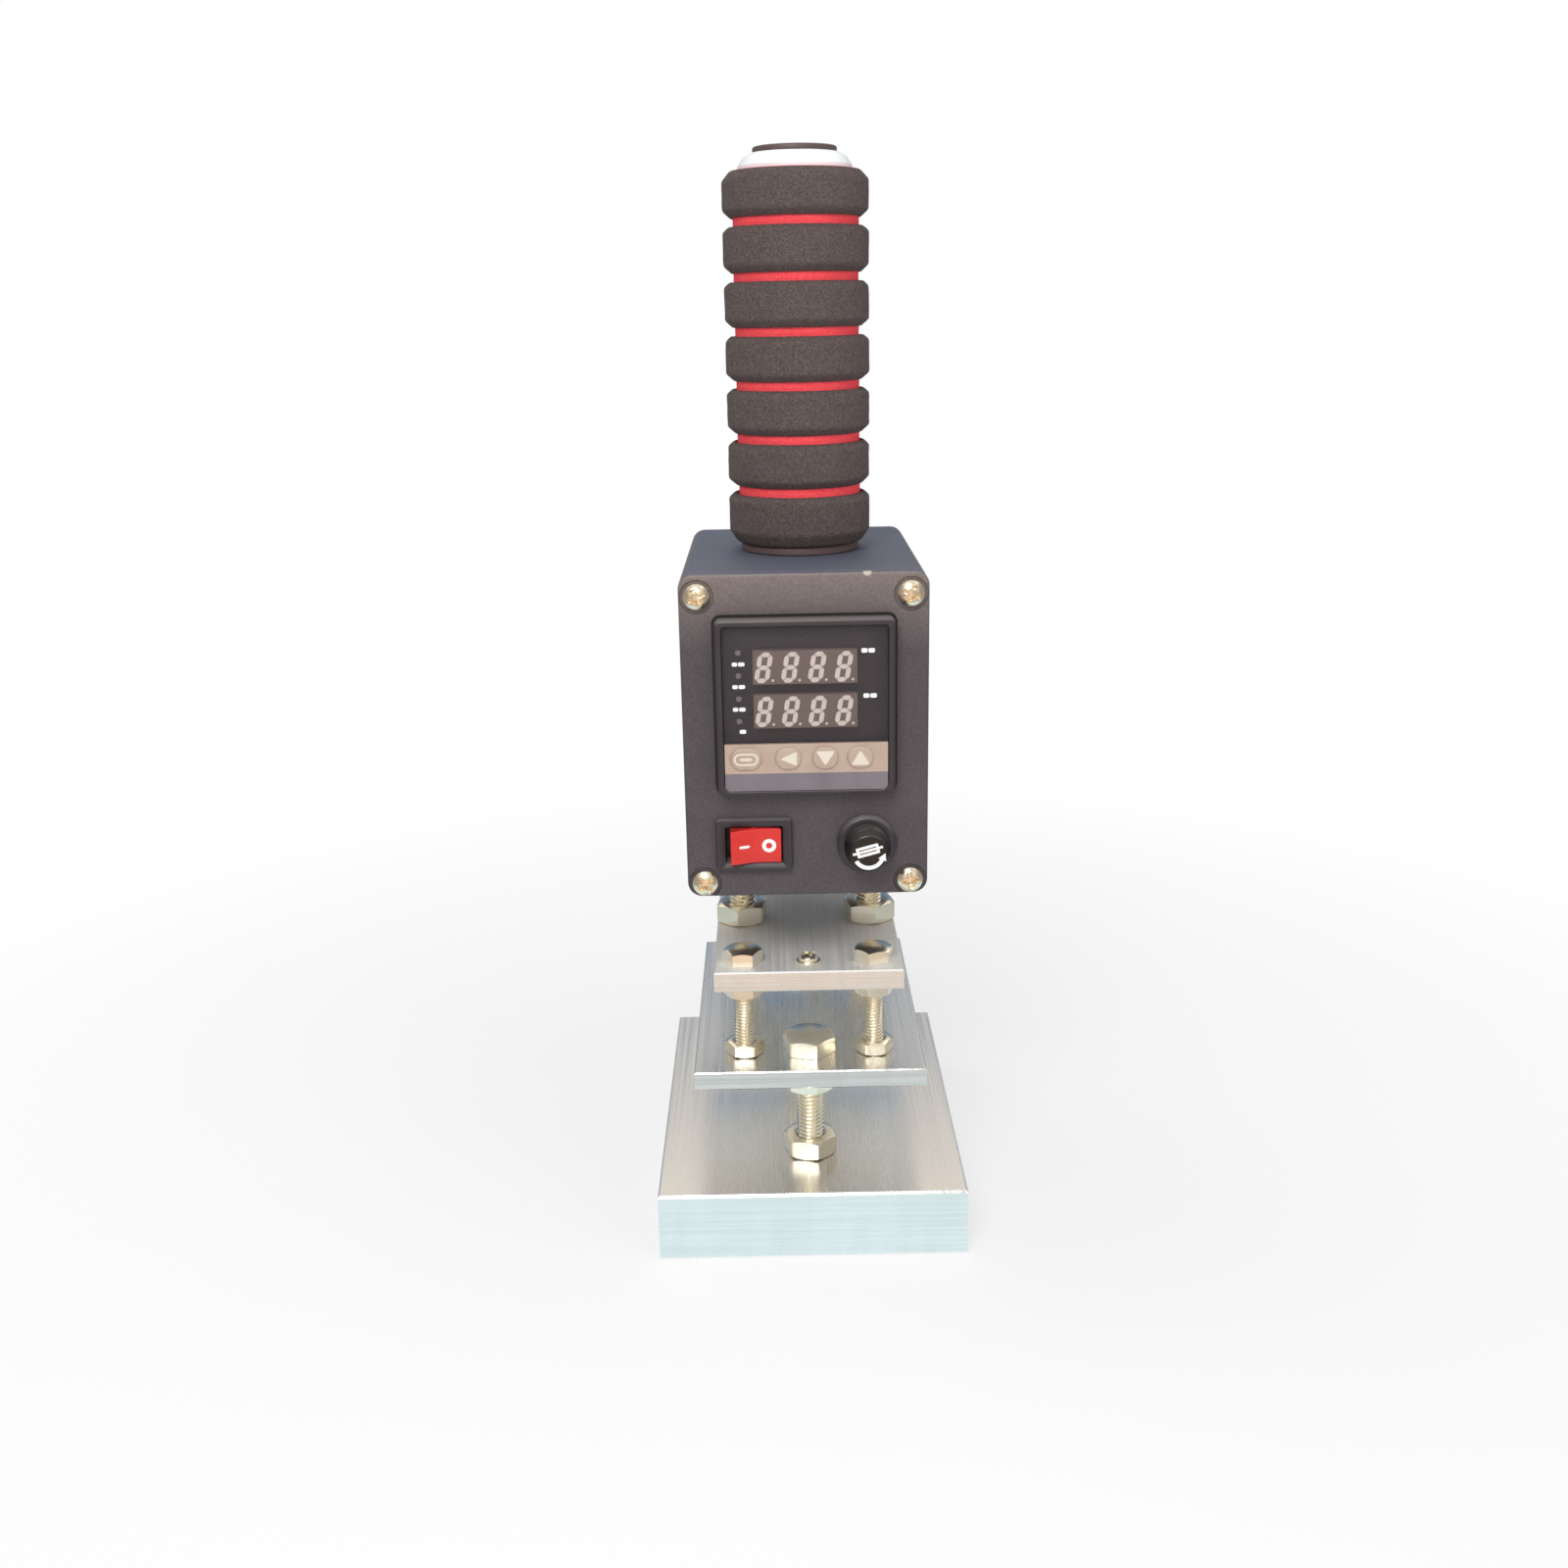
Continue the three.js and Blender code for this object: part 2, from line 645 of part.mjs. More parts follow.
function panelScrews() {
  const seat = -panelFront - SCREW_RECESS + SEAT;
  const r = SCREW_HEAD_DIA / 2;
  const profile = [
    [0, seat],
    [r, seat],
    [r, seat + SCREW_HEAD_H * SCREW_SHOULDER],
    [r * 0.7, seat + SCREW_HEAD_H * 0.9],
    [0, seat + SCREW_HEAD_H],
  ];
  const slot = SCREW_HEAD_DIA * 0.09;
  const reach = SCREW_HEAD_DIA * 0.31;
  const depth = seat + SCREW_HEAD_H * SCREW_SHOULDER;
  const cross = block(-reach, reach, -slot, slot, depth, seat + SCREW_HEAD_H + 1).add(
    block(-slot, slot, -reach, reach, depth, seat + SCREW_HEAD_H + 1),
  );
  screwPlaces().forEach(({ name, x, z }, i) => {
    const shank = bar(SCREW_DIA / 2, -panelBack - SCREW_LENGTH + 1, seat + 0.5, 8);
    const screw = turned(profile, 14).subtract(cross).add(shank);
    add("panel_screw_" + name, facingFront(screw.rotate([0, 0, SCREW_TURNS[i]]), x, z), steel);
  });
}

// The meter's sealed case, its front pocket and the pocket that each key moves in
function meterCase() {
  const front = -meterFront;
  const bezel = roundedPrism(
    METER_SIDE,
    METER_SIDE,
    METER_CORNER,
    -panelFront + SEAT,
    front,
    METER_EDGE,
  );
  const half = METER_SIDE / 2;
  let body = facingFront(bezel, 0, meterZ);
  const bodyHalf = METER_BODY / 2;
  body = body.add(
    block(
      -bodyHalf,
      bodyHalf,
      panelFront - 1,
      panelFront + METER_DEPTH,
      meterZ - bodyHalf,
      meterZ + bodyHalf,
    ),
  );
  const pocketHalf = half - METER_FRAME;
  const pocketTop = meterZ + half - METER_FRAME;
  const pocketBottom = meterZ - half + METER_FRAME_BELOW;
  const pocketFloor = meterFront + METER_POCKET;
  body = body.subtract(
    block(-pocketHalf, pocketHalf, meterFront - 1, pocketFloor, pocketBottom, pocketTop),
  );
  const wellHalf = pocketHalf - WINDOW_LEDGE;
  const wellTop = pocketTop - WINDOW_LEDGE;
  const wellBottom = pocketTop - WINDOW_H + WINDOW_LEDGE;
  const wellFloor = pocketFloor + DISPLAY_WELL;
  body = body.subtract(
    block(-wellHalf, wellHalf, meterFront, wellFloor, wellBottom, wellTop),
  );
  for (const drop of DISPLAY_DROPS) {
    const z = meterZ + half - drop;
    const face = pocketFloor + SEAT;
    body = body.add(
      block(-DISPLAY_W / 2, DISPLAY_W / 2, face, wellFloor + 1, z - DISPLAY_H / 2, z + DISPLAY_H / 2),
    );
  }
  for (const key of KEYS) {
    const w = key.width / 2 + KEY_FLANGE + FIT;
    const h = KEY_H / 2 + KEY_FLANGE + FIT;
    const z = meterZ + half - KEY_DROP;
    const floor = pocketFloor + FIT + KEY_FLANGE_T + KEY_TRAVEL + SEAT;
    body = body.subtract(block(key.x - w, key.x + w, pocketFloor - 1, floor, z - h, z + h));
  }
  add("meter_case", body, blackPlastic);
}

function meterFace() {
  const half = METER_SIDE / 2;
  const side = half - METER_FRAME - FIT;
  const back = meterFront + METER_POCKET - SEAT;
  const top = meterZ + half - METER_FRAME - FIT;
  const seam = meterZ + half - METER_FRAME - WINDOW_H;
  const bottom = meterZ - half + METER_FRAME_BELOW + FIT;
  const window = block(-side, side, back - WINDOW_T, back, seam + SEAT, top);
  add("meter_window", window, smokedWindow);
  let fascia = block(-side, side, back - FASCIA_T, back, bottom, seam - SEAT);
  const keyZ = meterZ + half - KEY_DROP;
  for (const key of KEYS) {
    const hole = roundedPrism(
      key.width + 2 * FIT,
      KEY_H + 2 * FIT,
      (KEY_H + 2 * FIT) / 2 - 0.05,
      -back - 1,
      -back + FASCIA_T + 1,
    );
    fascia = fascia.subtract(facingFront(hole, key.x, keyZ));
    const face = roundedPrism(
      key.width,
      KEY_H,
      KEY_H / 2 - 0.05,
      -back - FIT - KEY_EDGE,
      -back + FASCIA_T + KEY_LIP,
      KEY_EDGE,
    );
    const flange = block(
      key.x - key.width / 2 - KEY_FLANGE,
      key.x + key.width / 2 + KEY_FLANGE,
      back + FIT,
      back + FIT + KEY_FLANGE_T,
      keyZ - KEY_H / 2 - KEY_FLANGE,
      keyZ + KEY_H / 2 + KEY_FLANGE,
    );
    add(key.name, facingFront(face, key.x, keyZ).add(flange), fasciaTan);
  }
  add("meter_fascia", fascia, fasciaTan);
}

// The frame that draws the meter against the panel from behind
function meterClamp() {
  const outer = CLAMP_SIDE / 2;
  const inner = METER_BODY / 2 + FIT;
  const y0 = panelBack + SEAT;
  const y1 = y0 + CLAMP_DEPTH;
  const frame = block(-outer, outer, y0, y1, meterZ - outer, meterZ + outer).subtract(
    block(-inner, inner, y0 - 1, y1 + 1, meterZ - inner, meterZ + inner),
  );
  add("meter_clamp", frame, blackPlastic);
}

// Rocker switch: the rocker turns about an upright pin level with the panel's face
function rockerSwitch() {
  const bezel = roundedPrism(
    SWITCH_W,
    SWITCH_H,
    SWITCH_CORNER,
    -panelFront + SEAT,
    -panelFront + SWITCH_PROUD,
    SWITCH_EDGE,
  );
  let body = facingFront(bezel, SWITCH_X, switchZ);
  const w = SWITCH_BODY_W / 2;
  const h = SWITCH_BODY_H / 2;
  const back = panelFront + SWITCH_DEPTH;
  body = body.add(
    block(SWITCH_X - w, SWITCH_X + w, panelFront - 1, back, switchZ - h, switchZ + h),
  );
  for (const side of [-1, 1]) {
    const x = SWITCH_X + side * SWITCH_BODY_W * 0.28;
    const [x0, x1] = [x - TAB_T / 2, x + TAB_T / 2];
    const [z0, z1] = [switchZ - SWITCH_TAB_W / 2, switchZ + SWITCH_TAB_W / 2];
    body = body.add(block(x0, x1, back - 1, back + SWITCH_TAB, z0, z1));
  }
  const wellW = ROCKER_HALF_W + ROCKER_ROOM;
  const wellH = ROCKER_H / 2 + FIT;
  body = body.subtract(
    block(
      SWITCH_X - wellW,
      SWITCH_X + wellW,
      panelFront - SWITCH_PROUD - 1,
      panelFront + ROCKER_HALF_W / 2 + ROCKER_ROOM,
      switchZ - wellH,
      switchZ + wellH,
    ),
  );
  const pinHole = bar(
    ROCKER_PIN_DIA / 2 + FIT / 2,
    switchZ - ROCKER_H / 2 - ROCKER_PIN - SEAT,
    switchZ + ROCKER_H / 2 + ROCKER_PIN + SEAT,
    12,
  );
  body = body.subtract(pinHole.translate([SWITCH_X, panelFront, 0]));
  add("switch_body", body, blackPlastic);

  // Side view of the rocker, level: [across, out of the panel] about the pin
  const rise = ROCKER_HALF_W * Math.tan(THREE.MathUtils.degToRad(ROCKER_ANGLE));
  const outline = [
    [-ROCKER_HALF_W, ROCKER_CREST + rise],
    [0, ROCKER_CREST],
    [ROCKER_HALF_W, ROCKER_CREST + rise],
    [ROCKER_HALF_W - 0.4, -0.5],
    [ROCKER_HALF_W * 0.55, -ROCKER_HALF_W * 0.36],
    [-ROCKER_HALF_W * 0.55, -ROCKER_HALF_W * 0.36],
    [-ROCKER_HALF_W + 0.4, -0.5],
  ];
  const shape = new THREE.Shape(outline.map(([x, out]) => new THREE.Vector2(x, -out)));
  const paddle = new THREE.ExtrudeGeometry(shape, {
    depth: ROCKER_H - 2 * ROCKER_EDGE,
    bevelThickness: ROCKER_EDGE,
    bevelSize: ROCKER_EDGE,
    bevelOffset: -ROCKER_EDGE,
    bevelSegments: 1,
  });
  const pin = bar(ROCKER_PIN_DIA / 2, -ROCKER_H / 2 - ROCKER_PIN, ROCKER_H / 2 + ROCKER_PIN, 12);
  const rocker = solid(paddle.translate(0, 0, -ROCKER_H / 2 + ROCKER_EDGE)).add(pin);
  add(
    "switch_rocker",
    rocker.rotate([0, 0, ROCKER_ANGLE]).translate([SWITCH_X, panelFront, switchZ]),
    redPlastic,
  );
}

// Panel fuse holder: the glass fuse sits in the cap's sleeve and comes out with it
function fuseHolder() {
  const out = -panelFront;
  const boreR = FUSE_BORE_DIA / 2;
  const tip = out - FUSE_BARREL;
  const glassFront = out - GLASS_BEHIND;
  const boreFloor = glassFront - GLASS_LENGTH - FIT;
  const body = turned(
    [
      [0, tip],
      [FUSE_BARREL_DIA / 2, tip],
      [FUSE_BARREL_DIA / 2, out + SEAT],
      [FUSE_RING_DIA / 2, out + SEAT],
      [FUSE_RING_DIA / 2, out + FUSE_RING_T - 0.6],
      [FUSE_RING_DIA / 2 - 0.6, out + FUSE_RING_T],
      [boreR, out + FUSE_RING_T],
      [boreR, boreFloor],
      [0, boreFloor],
    ],
    18,
  );
  const tab = block(
    -FUSE_TAB_W / 2,
    FUSE_TAB_W / 2,
    -TAB_T / 2,
    TAB_T / 2,
    tip - FUSE_TAB,
    tip + 1,
  );
  add("fuse_holder_body", facingFront(body.add(tab), FUSE_X, fuseZ), blackPlastic);

  const nutTop = -panelBack - SEAT;
  const nut = hexagon(FUSE_NUT_FLATS, nutTop - FUSE_NUT_T, nutTop, true, false).subtract(
    bar(FUSE_BARREL_DIA / 2 + FIT, nutTop - FUSE_NUT_T - 1, nutTop + 1, 18),
  );
  add("fuse_holder_nut", facingFront(nut, FUSE_X, fuseZ), blackPlastic);

  const glassR = GLASS_DIA / 2;
  const glassBack = glassFront - GLASS_LENGTH;
  const neck = glassR - 0.25;
  const glass = turned(
    [
      [0, glassBack],
      [glassR, glassBack],
      [glassR, glassBack + GLASS_CAP],
      [neck, glassBack + GLASS_CAP],
      [neck, glassFront - GLASS_CAP],
      [glassR, glassFront - GLASS_CAP],
      [glassR, glassFront],
      [0, glassFront],
    ],
    16,
  );
  add("glass_fuse", facingFront(glass, FUSE_X, fuseZ), glassMix);

  const capBase = out + FUSE_RING_T + SEAT;
  const capFace = out + FUSE_RING_T + CAP_STICK_OUT;
  const baseR = CAP_BASE_DIA / 2;
  const faceR = CAP_FACE_DIA / 2;
  const sleeveBore = glassR + FIT / 2;
  const cap = turned(
    [
      [sleeveBore, capBase - CAP_SLEEVE],
      [CAP_SLEEVE_DIA / 2, capBase - CAP_SLEEVE],
      [CAP_SLEEVE_DIA / 2, capBase],
      [baseR, capBase],
      [baseR, capBase + CAP_BASE],
      [faceR + 0.3, capBase + CAP_BASE + 1],
      [faceR, capFace - 0.8],
      [faceR - 0.8, capFace],
      [0, capFace],
      [0, glassFront + SEAT],
      [sleeveBore, glassFront + SEAT],
      [sleeveBore, capBase - CAP_SLEEVE],
    ],
    18,
  );
  add("fuse_cap", facingFront(cap, FUSE_X, fuseZ), blackPlastic);
}

function cableGland() {
  const bore = GLAND_BORE_DIA / 2;
  const flangeEnd = boxBack + SEAT + GLAND_FLANGE;
  const threadR = GLAND_THREAD_DIA / 2;
  const body = bar(threadR, boxBack - BOX_WALL - GLAND_INSIDE, flangeEnd + GLAND_NUT * GLAND_ENGAGED)
    .add(hexagon(GLAND_FLATS, boxBack + SEAT, flangeEnd, false, false))
    .subtract(bar(bore, boxBack - BOX_WALL - GLAND_INSIDE - 1, flangeEnd + GLAND_NUT + 1));
  add("cable_gland_body", facingRear(body, GLAND_X, glandZ), blackPlastic);

  const nutStart = flangeEnd + SEAT;
  const nutEnd = nutStart + GLAND_NUT;
  const outer = GLAND_FLATS / 2;
  const threadEnd = nutStart + GLAND_NUT * GLAND_ENGAGED + FIT;
  const nut = turned(
    [
      [threadR + FIT, nutStart],
      [outer, nutStart],
      [outer, nutEnd - GLAND_TAPER],
      [outer - 2.5, nutEnd],
      [bore, nutEnd],
      [bore, threadEnd],
      [threadR + FIT, threadEnd],
      [threadR + FIT, nutStart],
    ],
    16,
  );
  add("cable_gland_nut", facingRear(nut, GLAND_X, glandZ), blackPlastic);
}

// A sleeve along a smooth curve through the given points
function sleeve(points, diameter, steps) {
  const path = new THREE.CatmullRomCurve3(points.map((p) => new THREE.Vector3(...p)));
  const section = new THREE.Shape().absarc(0, 0, diameter / 2, 0, Math.PI * 2);
  const geometry = new THREE.ExtrudeGeometry(section, {
    steps,
    curveSegments: 4,
    bevelEnabled: false,
    extrudePath: path,
  });
  return solid(geometry);
}

// Heater and probe leads: three branches join a trunk that rises behind the plates
function heaterHarness() {
  const back = blockBack + TRUNK_BACK;
  const heaterEnd = blockBack + HEATER_STICK_OUT + LEAD_GAP;
  const probeEnd = blockBack + SEAT + PROBE_HEAD + LEAD_GAP;
  const x = HEATER_PITCH / 2;
  let body = sleeve(
    [
      [0, back, heaterZ + TRUNK_RISE],
      [1, back, lowerBottom],
      [6, back, upperTop],
      [LEAD_ENTRY_X, back - 3, leadEntryZ - 12],
      [LEAD_ENTRY_X, boxBack + 9, leadEntryZ - 1],
      [LEAD_ENTRY_X, boxBack + 2, leadEntryZ],
      [LEAD_ENTRY_X, boxBack - BOX_WALL - 6, leadEntryZ],
    ],
    TRUNK_DIA,
    26,
  );
  for (const side of [-1, 1]) {
    const branch = sleeve(
      [
        [side * x, heaterEnd, heaterZ],
        [side * x, heaterEnd + 2, heaterZ],
        [side * (x - 4), back, heaterZ],
        [side * 8, back, heaterZ + BRANCH_JOIN / 3],
        [side, back, heaterZ + BRANCH_JOIN],
      ],
      BRANCH_DIA,
      12,
    );
    body = body.add(branch);
  }
  const probeLead = sleeve(
    [
      [PROBE_X, probeEnd, heaterZ],
      [PROBE_X, probeEnd + 1.5, heaterZ],
      [PROBE_X - 3, back, heaterZ + 6],
      [1, back, heaterZ + PROBE_LEAD_JOIN],
    ],
    PROBE_LEAD_DIA,
    9,
  );
  const grommet = bar(GROMMET_NECK_DIA / 2, boxBack - BOX_WALL - 1, boxBack + 1)
    .add(bar(GROMMET_DIA / 2, boxBack + SEAT, boxBack + SEAT + GROMMET_LIP))
    .add(bar(GROMMET_DIA / 2, boxBack - BOX_WALL - SEAT - GROMMET_LIP, boxBack - BOX_WALL - SEAT));
  body = body.add(probeLead).add(facingRear(grommet, LEAD_ENTRY_X, leadEntryZ));
  add("heater_harness", body, sleeving);
}

function handleHardware() {
  const boreR = M8.shank / 2 + FIT;
  const spigotR = TUBE_BORE_DIA / 2 - FIT;
  const flangeR = FLANGE_DIA / 2;
  const flangeTop = boxTop + FLANGE_T;
  const flange = turned(
    [
      [boreR, boxTop + SEAT],
      [flangeR, boxTop + SEAT],
      [flangeR, flangeTop - 1],
      [flangeR - 1, flangeTop],
      [spigotR, flangeTop],
      [spigotR, flangeTop + SPIGOT],
      [boreR, flangeTop + SPIGOT],
      [boreR, boxTop + SEAT],
    ],
    28,
  );
  add("handle_flange", flange, blackPlastic);
  const tubeTop = gripTop - SEAT;
  const core = tube(TUBE_DIA / 2, TUBE_BORE_DIA / 2, flangeTop + SEAT, tubeTop);
  add("handle_core", core, aluminium);

  const capR = CAP_DIA / 2;
  const headFloor = capTop - TIE_SINK - TIE_HEAD_H - SEAT;
  const wellR = TIE_HEAD_DIA / 2 + FIT;
  const rimR = CAP_TOP_DIA / 2;
  const cap = turned(
    [
      [boreR, gripTop - SPIGOT],
      [spigotR, gripTop - SPIGOT],
      [spigotR, gripTop],
      [capR, gripTop],
      [capR, gripTop + 0.9],
      [capR - 0.7, gripTop + 2.2],
      [(capR + rimR) / 2, capTop - 0.9],
      [rimR, capTop],
      [wellR, capTop],
      [wellR, headFloor],
      [boreR, headFloor],
      [boreR, gripTop - SPIGOT],
    ],
    28,
  );
  add("handle_cap", cap, whitePlastic);

  const plugR = PLUG_DIA / 2;
  const plug = turned(
    [
      [0, capTop - TIE_SINK + SEAT],
      [wellR - FIT, capTop - TIE_SINK + SEAT],
      [wellR - FIT, capTop + SEAT],
      [plugR, capTop + SEAT],
      [plugR, capTop + PLUG_T - 0.7],
      [plugR - 0.7, capTop + PLUG_T],
      [0, capTop + PLUG_T],
    ],
    28,
  );
  add("cap_plug", plug, blackPlastic);

  const headSeat = headFloor + SEAT;
  const nutTop = boxTop - BOX_WALL - SEAT;
  const socket = solid(
    new THREE.CylinderGeometry(
      TIE_SOCKET_DIA / 2,
      TIE_SOCKET_DIA / 2,
      TIE_SOCKET,
      6,
    ).rotateX(Math.PI / 2),
  );
  const bolt = bar(TIE_HEAD_DIA / 2, headSeat, headSeat + TIE_HEAD_H - SEAT, 16)
    .subtract(socket.translate([0, 0, headSeat + TIE_HEAD_H]))
    .add(bar(M8.shank / 2, nutTop - M8.nut - BOLT_TIP, headSeat + 1, 12, 0.6));
  add("handle_bolt", bolt, steel);
  const nut = hexagon(M8.flats, nutTop - M8.nut, nutTop, true, true).subtract(
    bar(M8.shank / 2 + FIT, nutTop - M8.nut - 1, nutTop + 1),
  );
  add("handle_nut", nut, steel);
}

// Foam grip: a red layer round the tube, and black rings round the red layer
function foamGrip() {
  const layerR = GRIP_LAYER_DIA / 2;
  const core = TUBE_DIA / 2 + FIT;
  add("grip_red_layer", tube(layerR, core, gripBottom + SEAT, gripTop - SEAT), redFoam);
  const inner = layerR + FIT;
  const outer = GRIP_DIA / 2;
  for (let i = 0; i < RING_COUNT; i++) {
    const top = gripTop - i * (RING_H + GROOVE_H) - SEAT;
    const bottom = i === RING_COUNT - 1 ? gripBottom + SEAT : top - RING_H;
    const upper = i === 0 ? TOP_CORNER : UPPER_CORNER;
    const upperSlant = i === 0 ? RING_SLANT : UPPER_SLANT;
    const lower = i === RING_COUNT - 1 ? BOTTOM_CORNER : RING_CORNER;
    const profile = [
      [inner, bottom],
      [outer - RING_SLANT, bottom],
      [outer, bottom + lower],
      [outer, top - upper],
      [outer - upperSlant, top],
      [inner, top],
      [inner, bottom],
    ];
    add("grip_ring_" + (i + 1), turned(profile, 28), blackFoam);
  }
}

heaterBlock();
cartridgeHeaters();
thermocoupleProbe();
heaterHarness();
plates();
blockBolts();
columnBolts();
carrierBolts();
earthScrew();
enclosure();
frontPanel();
panelScrews();
meterCase();
meterFace();
meterClamp();
rockerSwitch();
fuseHolder();
cableGland();
handleHardware();
foamGrip();

export default group;
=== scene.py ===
# %% [markdown]
# # A hand-held hot stamping machine
# The thick aluminium block at the bottom is heated and pressed on foil and leather. Bolts hold it
# under two plates, these hang under a cast box with a temperature meter, a switch and a fuse, and
# a foam grip stands on the box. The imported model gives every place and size. This file dresses
# it: each bare solid either keeps its shape and gets a finish, or gives way to a finer surface.

import bmesh
import bpy
import numpy as np
from mathutils import Matrix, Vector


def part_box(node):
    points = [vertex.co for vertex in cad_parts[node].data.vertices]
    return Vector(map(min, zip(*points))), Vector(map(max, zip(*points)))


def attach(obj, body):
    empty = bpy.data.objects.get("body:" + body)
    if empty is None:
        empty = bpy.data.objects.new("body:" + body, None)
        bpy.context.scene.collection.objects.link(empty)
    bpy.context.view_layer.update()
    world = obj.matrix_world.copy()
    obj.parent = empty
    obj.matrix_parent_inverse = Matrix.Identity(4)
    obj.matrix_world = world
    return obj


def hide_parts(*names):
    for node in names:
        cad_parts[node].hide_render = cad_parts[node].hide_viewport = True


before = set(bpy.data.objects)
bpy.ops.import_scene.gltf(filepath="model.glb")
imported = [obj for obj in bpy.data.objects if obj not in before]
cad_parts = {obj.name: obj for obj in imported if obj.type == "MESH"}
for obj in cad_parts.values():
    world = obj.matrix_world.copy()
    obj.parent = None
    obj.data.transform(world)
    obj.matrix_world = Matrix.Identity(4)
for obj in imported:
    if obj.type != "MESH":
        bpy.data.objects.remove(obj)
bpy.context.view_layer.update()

# %% [markdown]
# ## The camera
# The photograph was taken from the front and a little above, close enough for the block below to
# look much wider than the grip. A camera fitted to the photograph gives its place, its three
# angles and its focal length in pixels of a 1600 pixel picture. The lens that Blender asks for is
# that length as a share of the picture's width, times the width of the sensor.

# %% Camera
PICTURE = 1600
FOCAL_PIXELS = 1640.6
CAMERA_PLACE = (-0.008157, -0.466417, 0.261117)
PITCH, YAW, ROLL = np.radians([16.413, -0.2784, 1.0234])


def camera_axes(pitch, yaw, roll):
    """Right, up and backward as rows: level axes turned by yaw, tipped by pitch, then rolled."""
    across = np.array([np.cos(yaw), np.sin(yaw), 0])
    ahead = np.array([-np.sin(yaw), np.cos(yaw), 0])
    forward = ahead * np.cos(pitch) - np.array([0, 0, np.sin(pitch)])
    upward = ahead * np.sin(pitch) + np.array([0, 0, np.cos(pitch)])
    right = across * np.cos(roll) - upward * np.sin(roll)
    up = across * np.sin(roll) + upward * np.cos(roll)
    return np.array([right, up, -forward])


lens = bpy.data.cameras.new("camera")
lens.sensor_width = 36
lens.lens = FOCAL_PIXELS / PICTURE * lens.sensor_width
camera = bpy.data.objects.new("camera", lens)
turn = Matrix(camera_axes(PITCH, YAW, ROLL).T.tolist()).to_4x4()
camera.matrix_world = Matrix.Translation(CAMERA_PLACE) @ turn
bpy.context.scene.collection.objects.link(camera)
bpy.context.scene.camera = camera
bpy.context.scene.view_settings.view_transform = "Standard"
print("lens", round(lens.lens, 2), "mm at", CAMERA_PLACE)

# %% [markdown]
# ## Colours and nodes
# Colours are written as sRGB hex values, as a colour picker gives them, and Blender's shaders
# want linear light, so one function turns them. Another adds any node at all, with its settings
# and links. A third gives the scale at which a texture's features come so many millimetres apart.

# %% Helpers for materials
MM = 0.001
RGBA = {"data_type": "RGBA"}  # has a Mix node mix two colours, its inputs 6 and 7, by input 0


def linear(code):
    """The hex colour's three bytes as shares of 255, each undone from sRGB, and opaque."""
    c = np.array([int(code[i : i + 2], 16) for i in (1, 3, 5)]) / 255
    light = np.where(c <= 0.04045, c / 12.92, ((c + 0.055) / 1.055) ** 2.4)
    return (*light.tolist(), 1)


def set_up(node, settings):
    """Sets what is the node's own, and hands the rest to its inputs: a socket is linked, a node
    is linked by its first output in use, and anything else becomes the input's value."""
    for key, value in settings.items():
        if isinstance(value, bpy.types.Node):
            value = next(socket for socket in value.outputs if socket.enabled)
        if isinstance(key, str) and hasattr(node, key):
            setattr(node, key, value)
        elif isinstance(value, bpy.types.NodeSocket):
            node.id_data.links.new(value, node.inputs[key])
        else:
            node.inputs[key].default_value = value
    return node


def add_node(tree, kind, settings=None):
    """A node of this kind, with its settings and links."""
    return set_up(tree.nodes.new("ShaderNode" + kind), settings or {})


def new_material(name, **sockets):
    """A material, its node tree, its Principled shader and the object's coordinates."""
    material = bpy.data.materials.new(name)
    material.use_nodes = True
    tree = material.node_tree
    values = {key.replace("_", " "): value for key, value in sockets.items()}
    shader = set_up(tree.nodes["Principled BSDF"], values)
    return material, tree, shader, add_node(tree, "TexCoord").outputs["Object"]


def every(mm):
    """The texture scale, in features per metre, for features this many millimetres apart."""
    return 1000 / mm


def facing_up(tree):
    """How far a surface faces up: the Z component of its normal."""
    normal = add_node(tree, "NewGeometry").outputs["Normal"]
    return add_node(tree, "SeparateXYZ", {0: normal}).outputs["Z"]


print("mid grey", linear("#808080")[0])

# %% [markdown]
# ## The studio
# The object stands on a plain white floor in front of a plain white background. The floor is a
# matt white that keeps the object's shadow. What mirrors see is chosen by itself, because a
# metal part is mostly a picture of what is round it. A pale blue sheet lies in front of the
# machine, then a grey one and a warm one. Behind it the wall falls off to a blue grey near the
# ground, overhead it is grey, and darker cards stand at both sides, as photographers use them to
# give metal its edges. The lamps are large and soft, and they are set so that a grey card facing
# them would come out about as grey as it is. Mirrors see only the key and the top lamp, because
# the other two would bleach the metal from one side or another.

# %% World
SIDE_CARDS = linear("#8f8a84")
world = bpy.data.worlds.new("studio")
bpy.context.scene.world = world
world.use_nodes = True
tree = world.node_tree
rays = add_node(tree, "LightPath").outputs
seen = add_node(
    tree, "Math", {"operation": "MAXIMUM", 0: rays["Is Camera Ray"], 1: rays["Is Transmission Ray"]}
)
toward = add_node(tree, "TexCoord").outputs["Object"]  # in a world, the way that a ray goes
toward = add_node(tree, "SeparateXYZ", {0: toward}).outputs
low = add_node(tree, "MapRange", {"From Min": 0.43, "From Max": 0.52, "Value": toward["Z"]})
wall = add_node(tree, "Mix", RGBA | {0: low, 6: linear("#60788f"), 7: linear("#fff0dd")})
behind = add_node(tree, "MapRange", {"From Min": -0.25, "From Max": 0.2, "Value": toward["Y"]})
room = add_node(tree, "Mix", RGBA | {0: behind, 6: linear("#d8d2c8"), 7: wall})
over = add_node(tree, "MapRange", {"From Min": 0.72, "From Max": 0.92, "Value": toward["Z"]})
room = add_node(tree, "Mix", RGBA | {0: over, 6: room, 7: linear("#5c5a57")})
sideways = add_node(tree, "Math", {"operation": "ABSOLUTE", 0: toward["X"]})
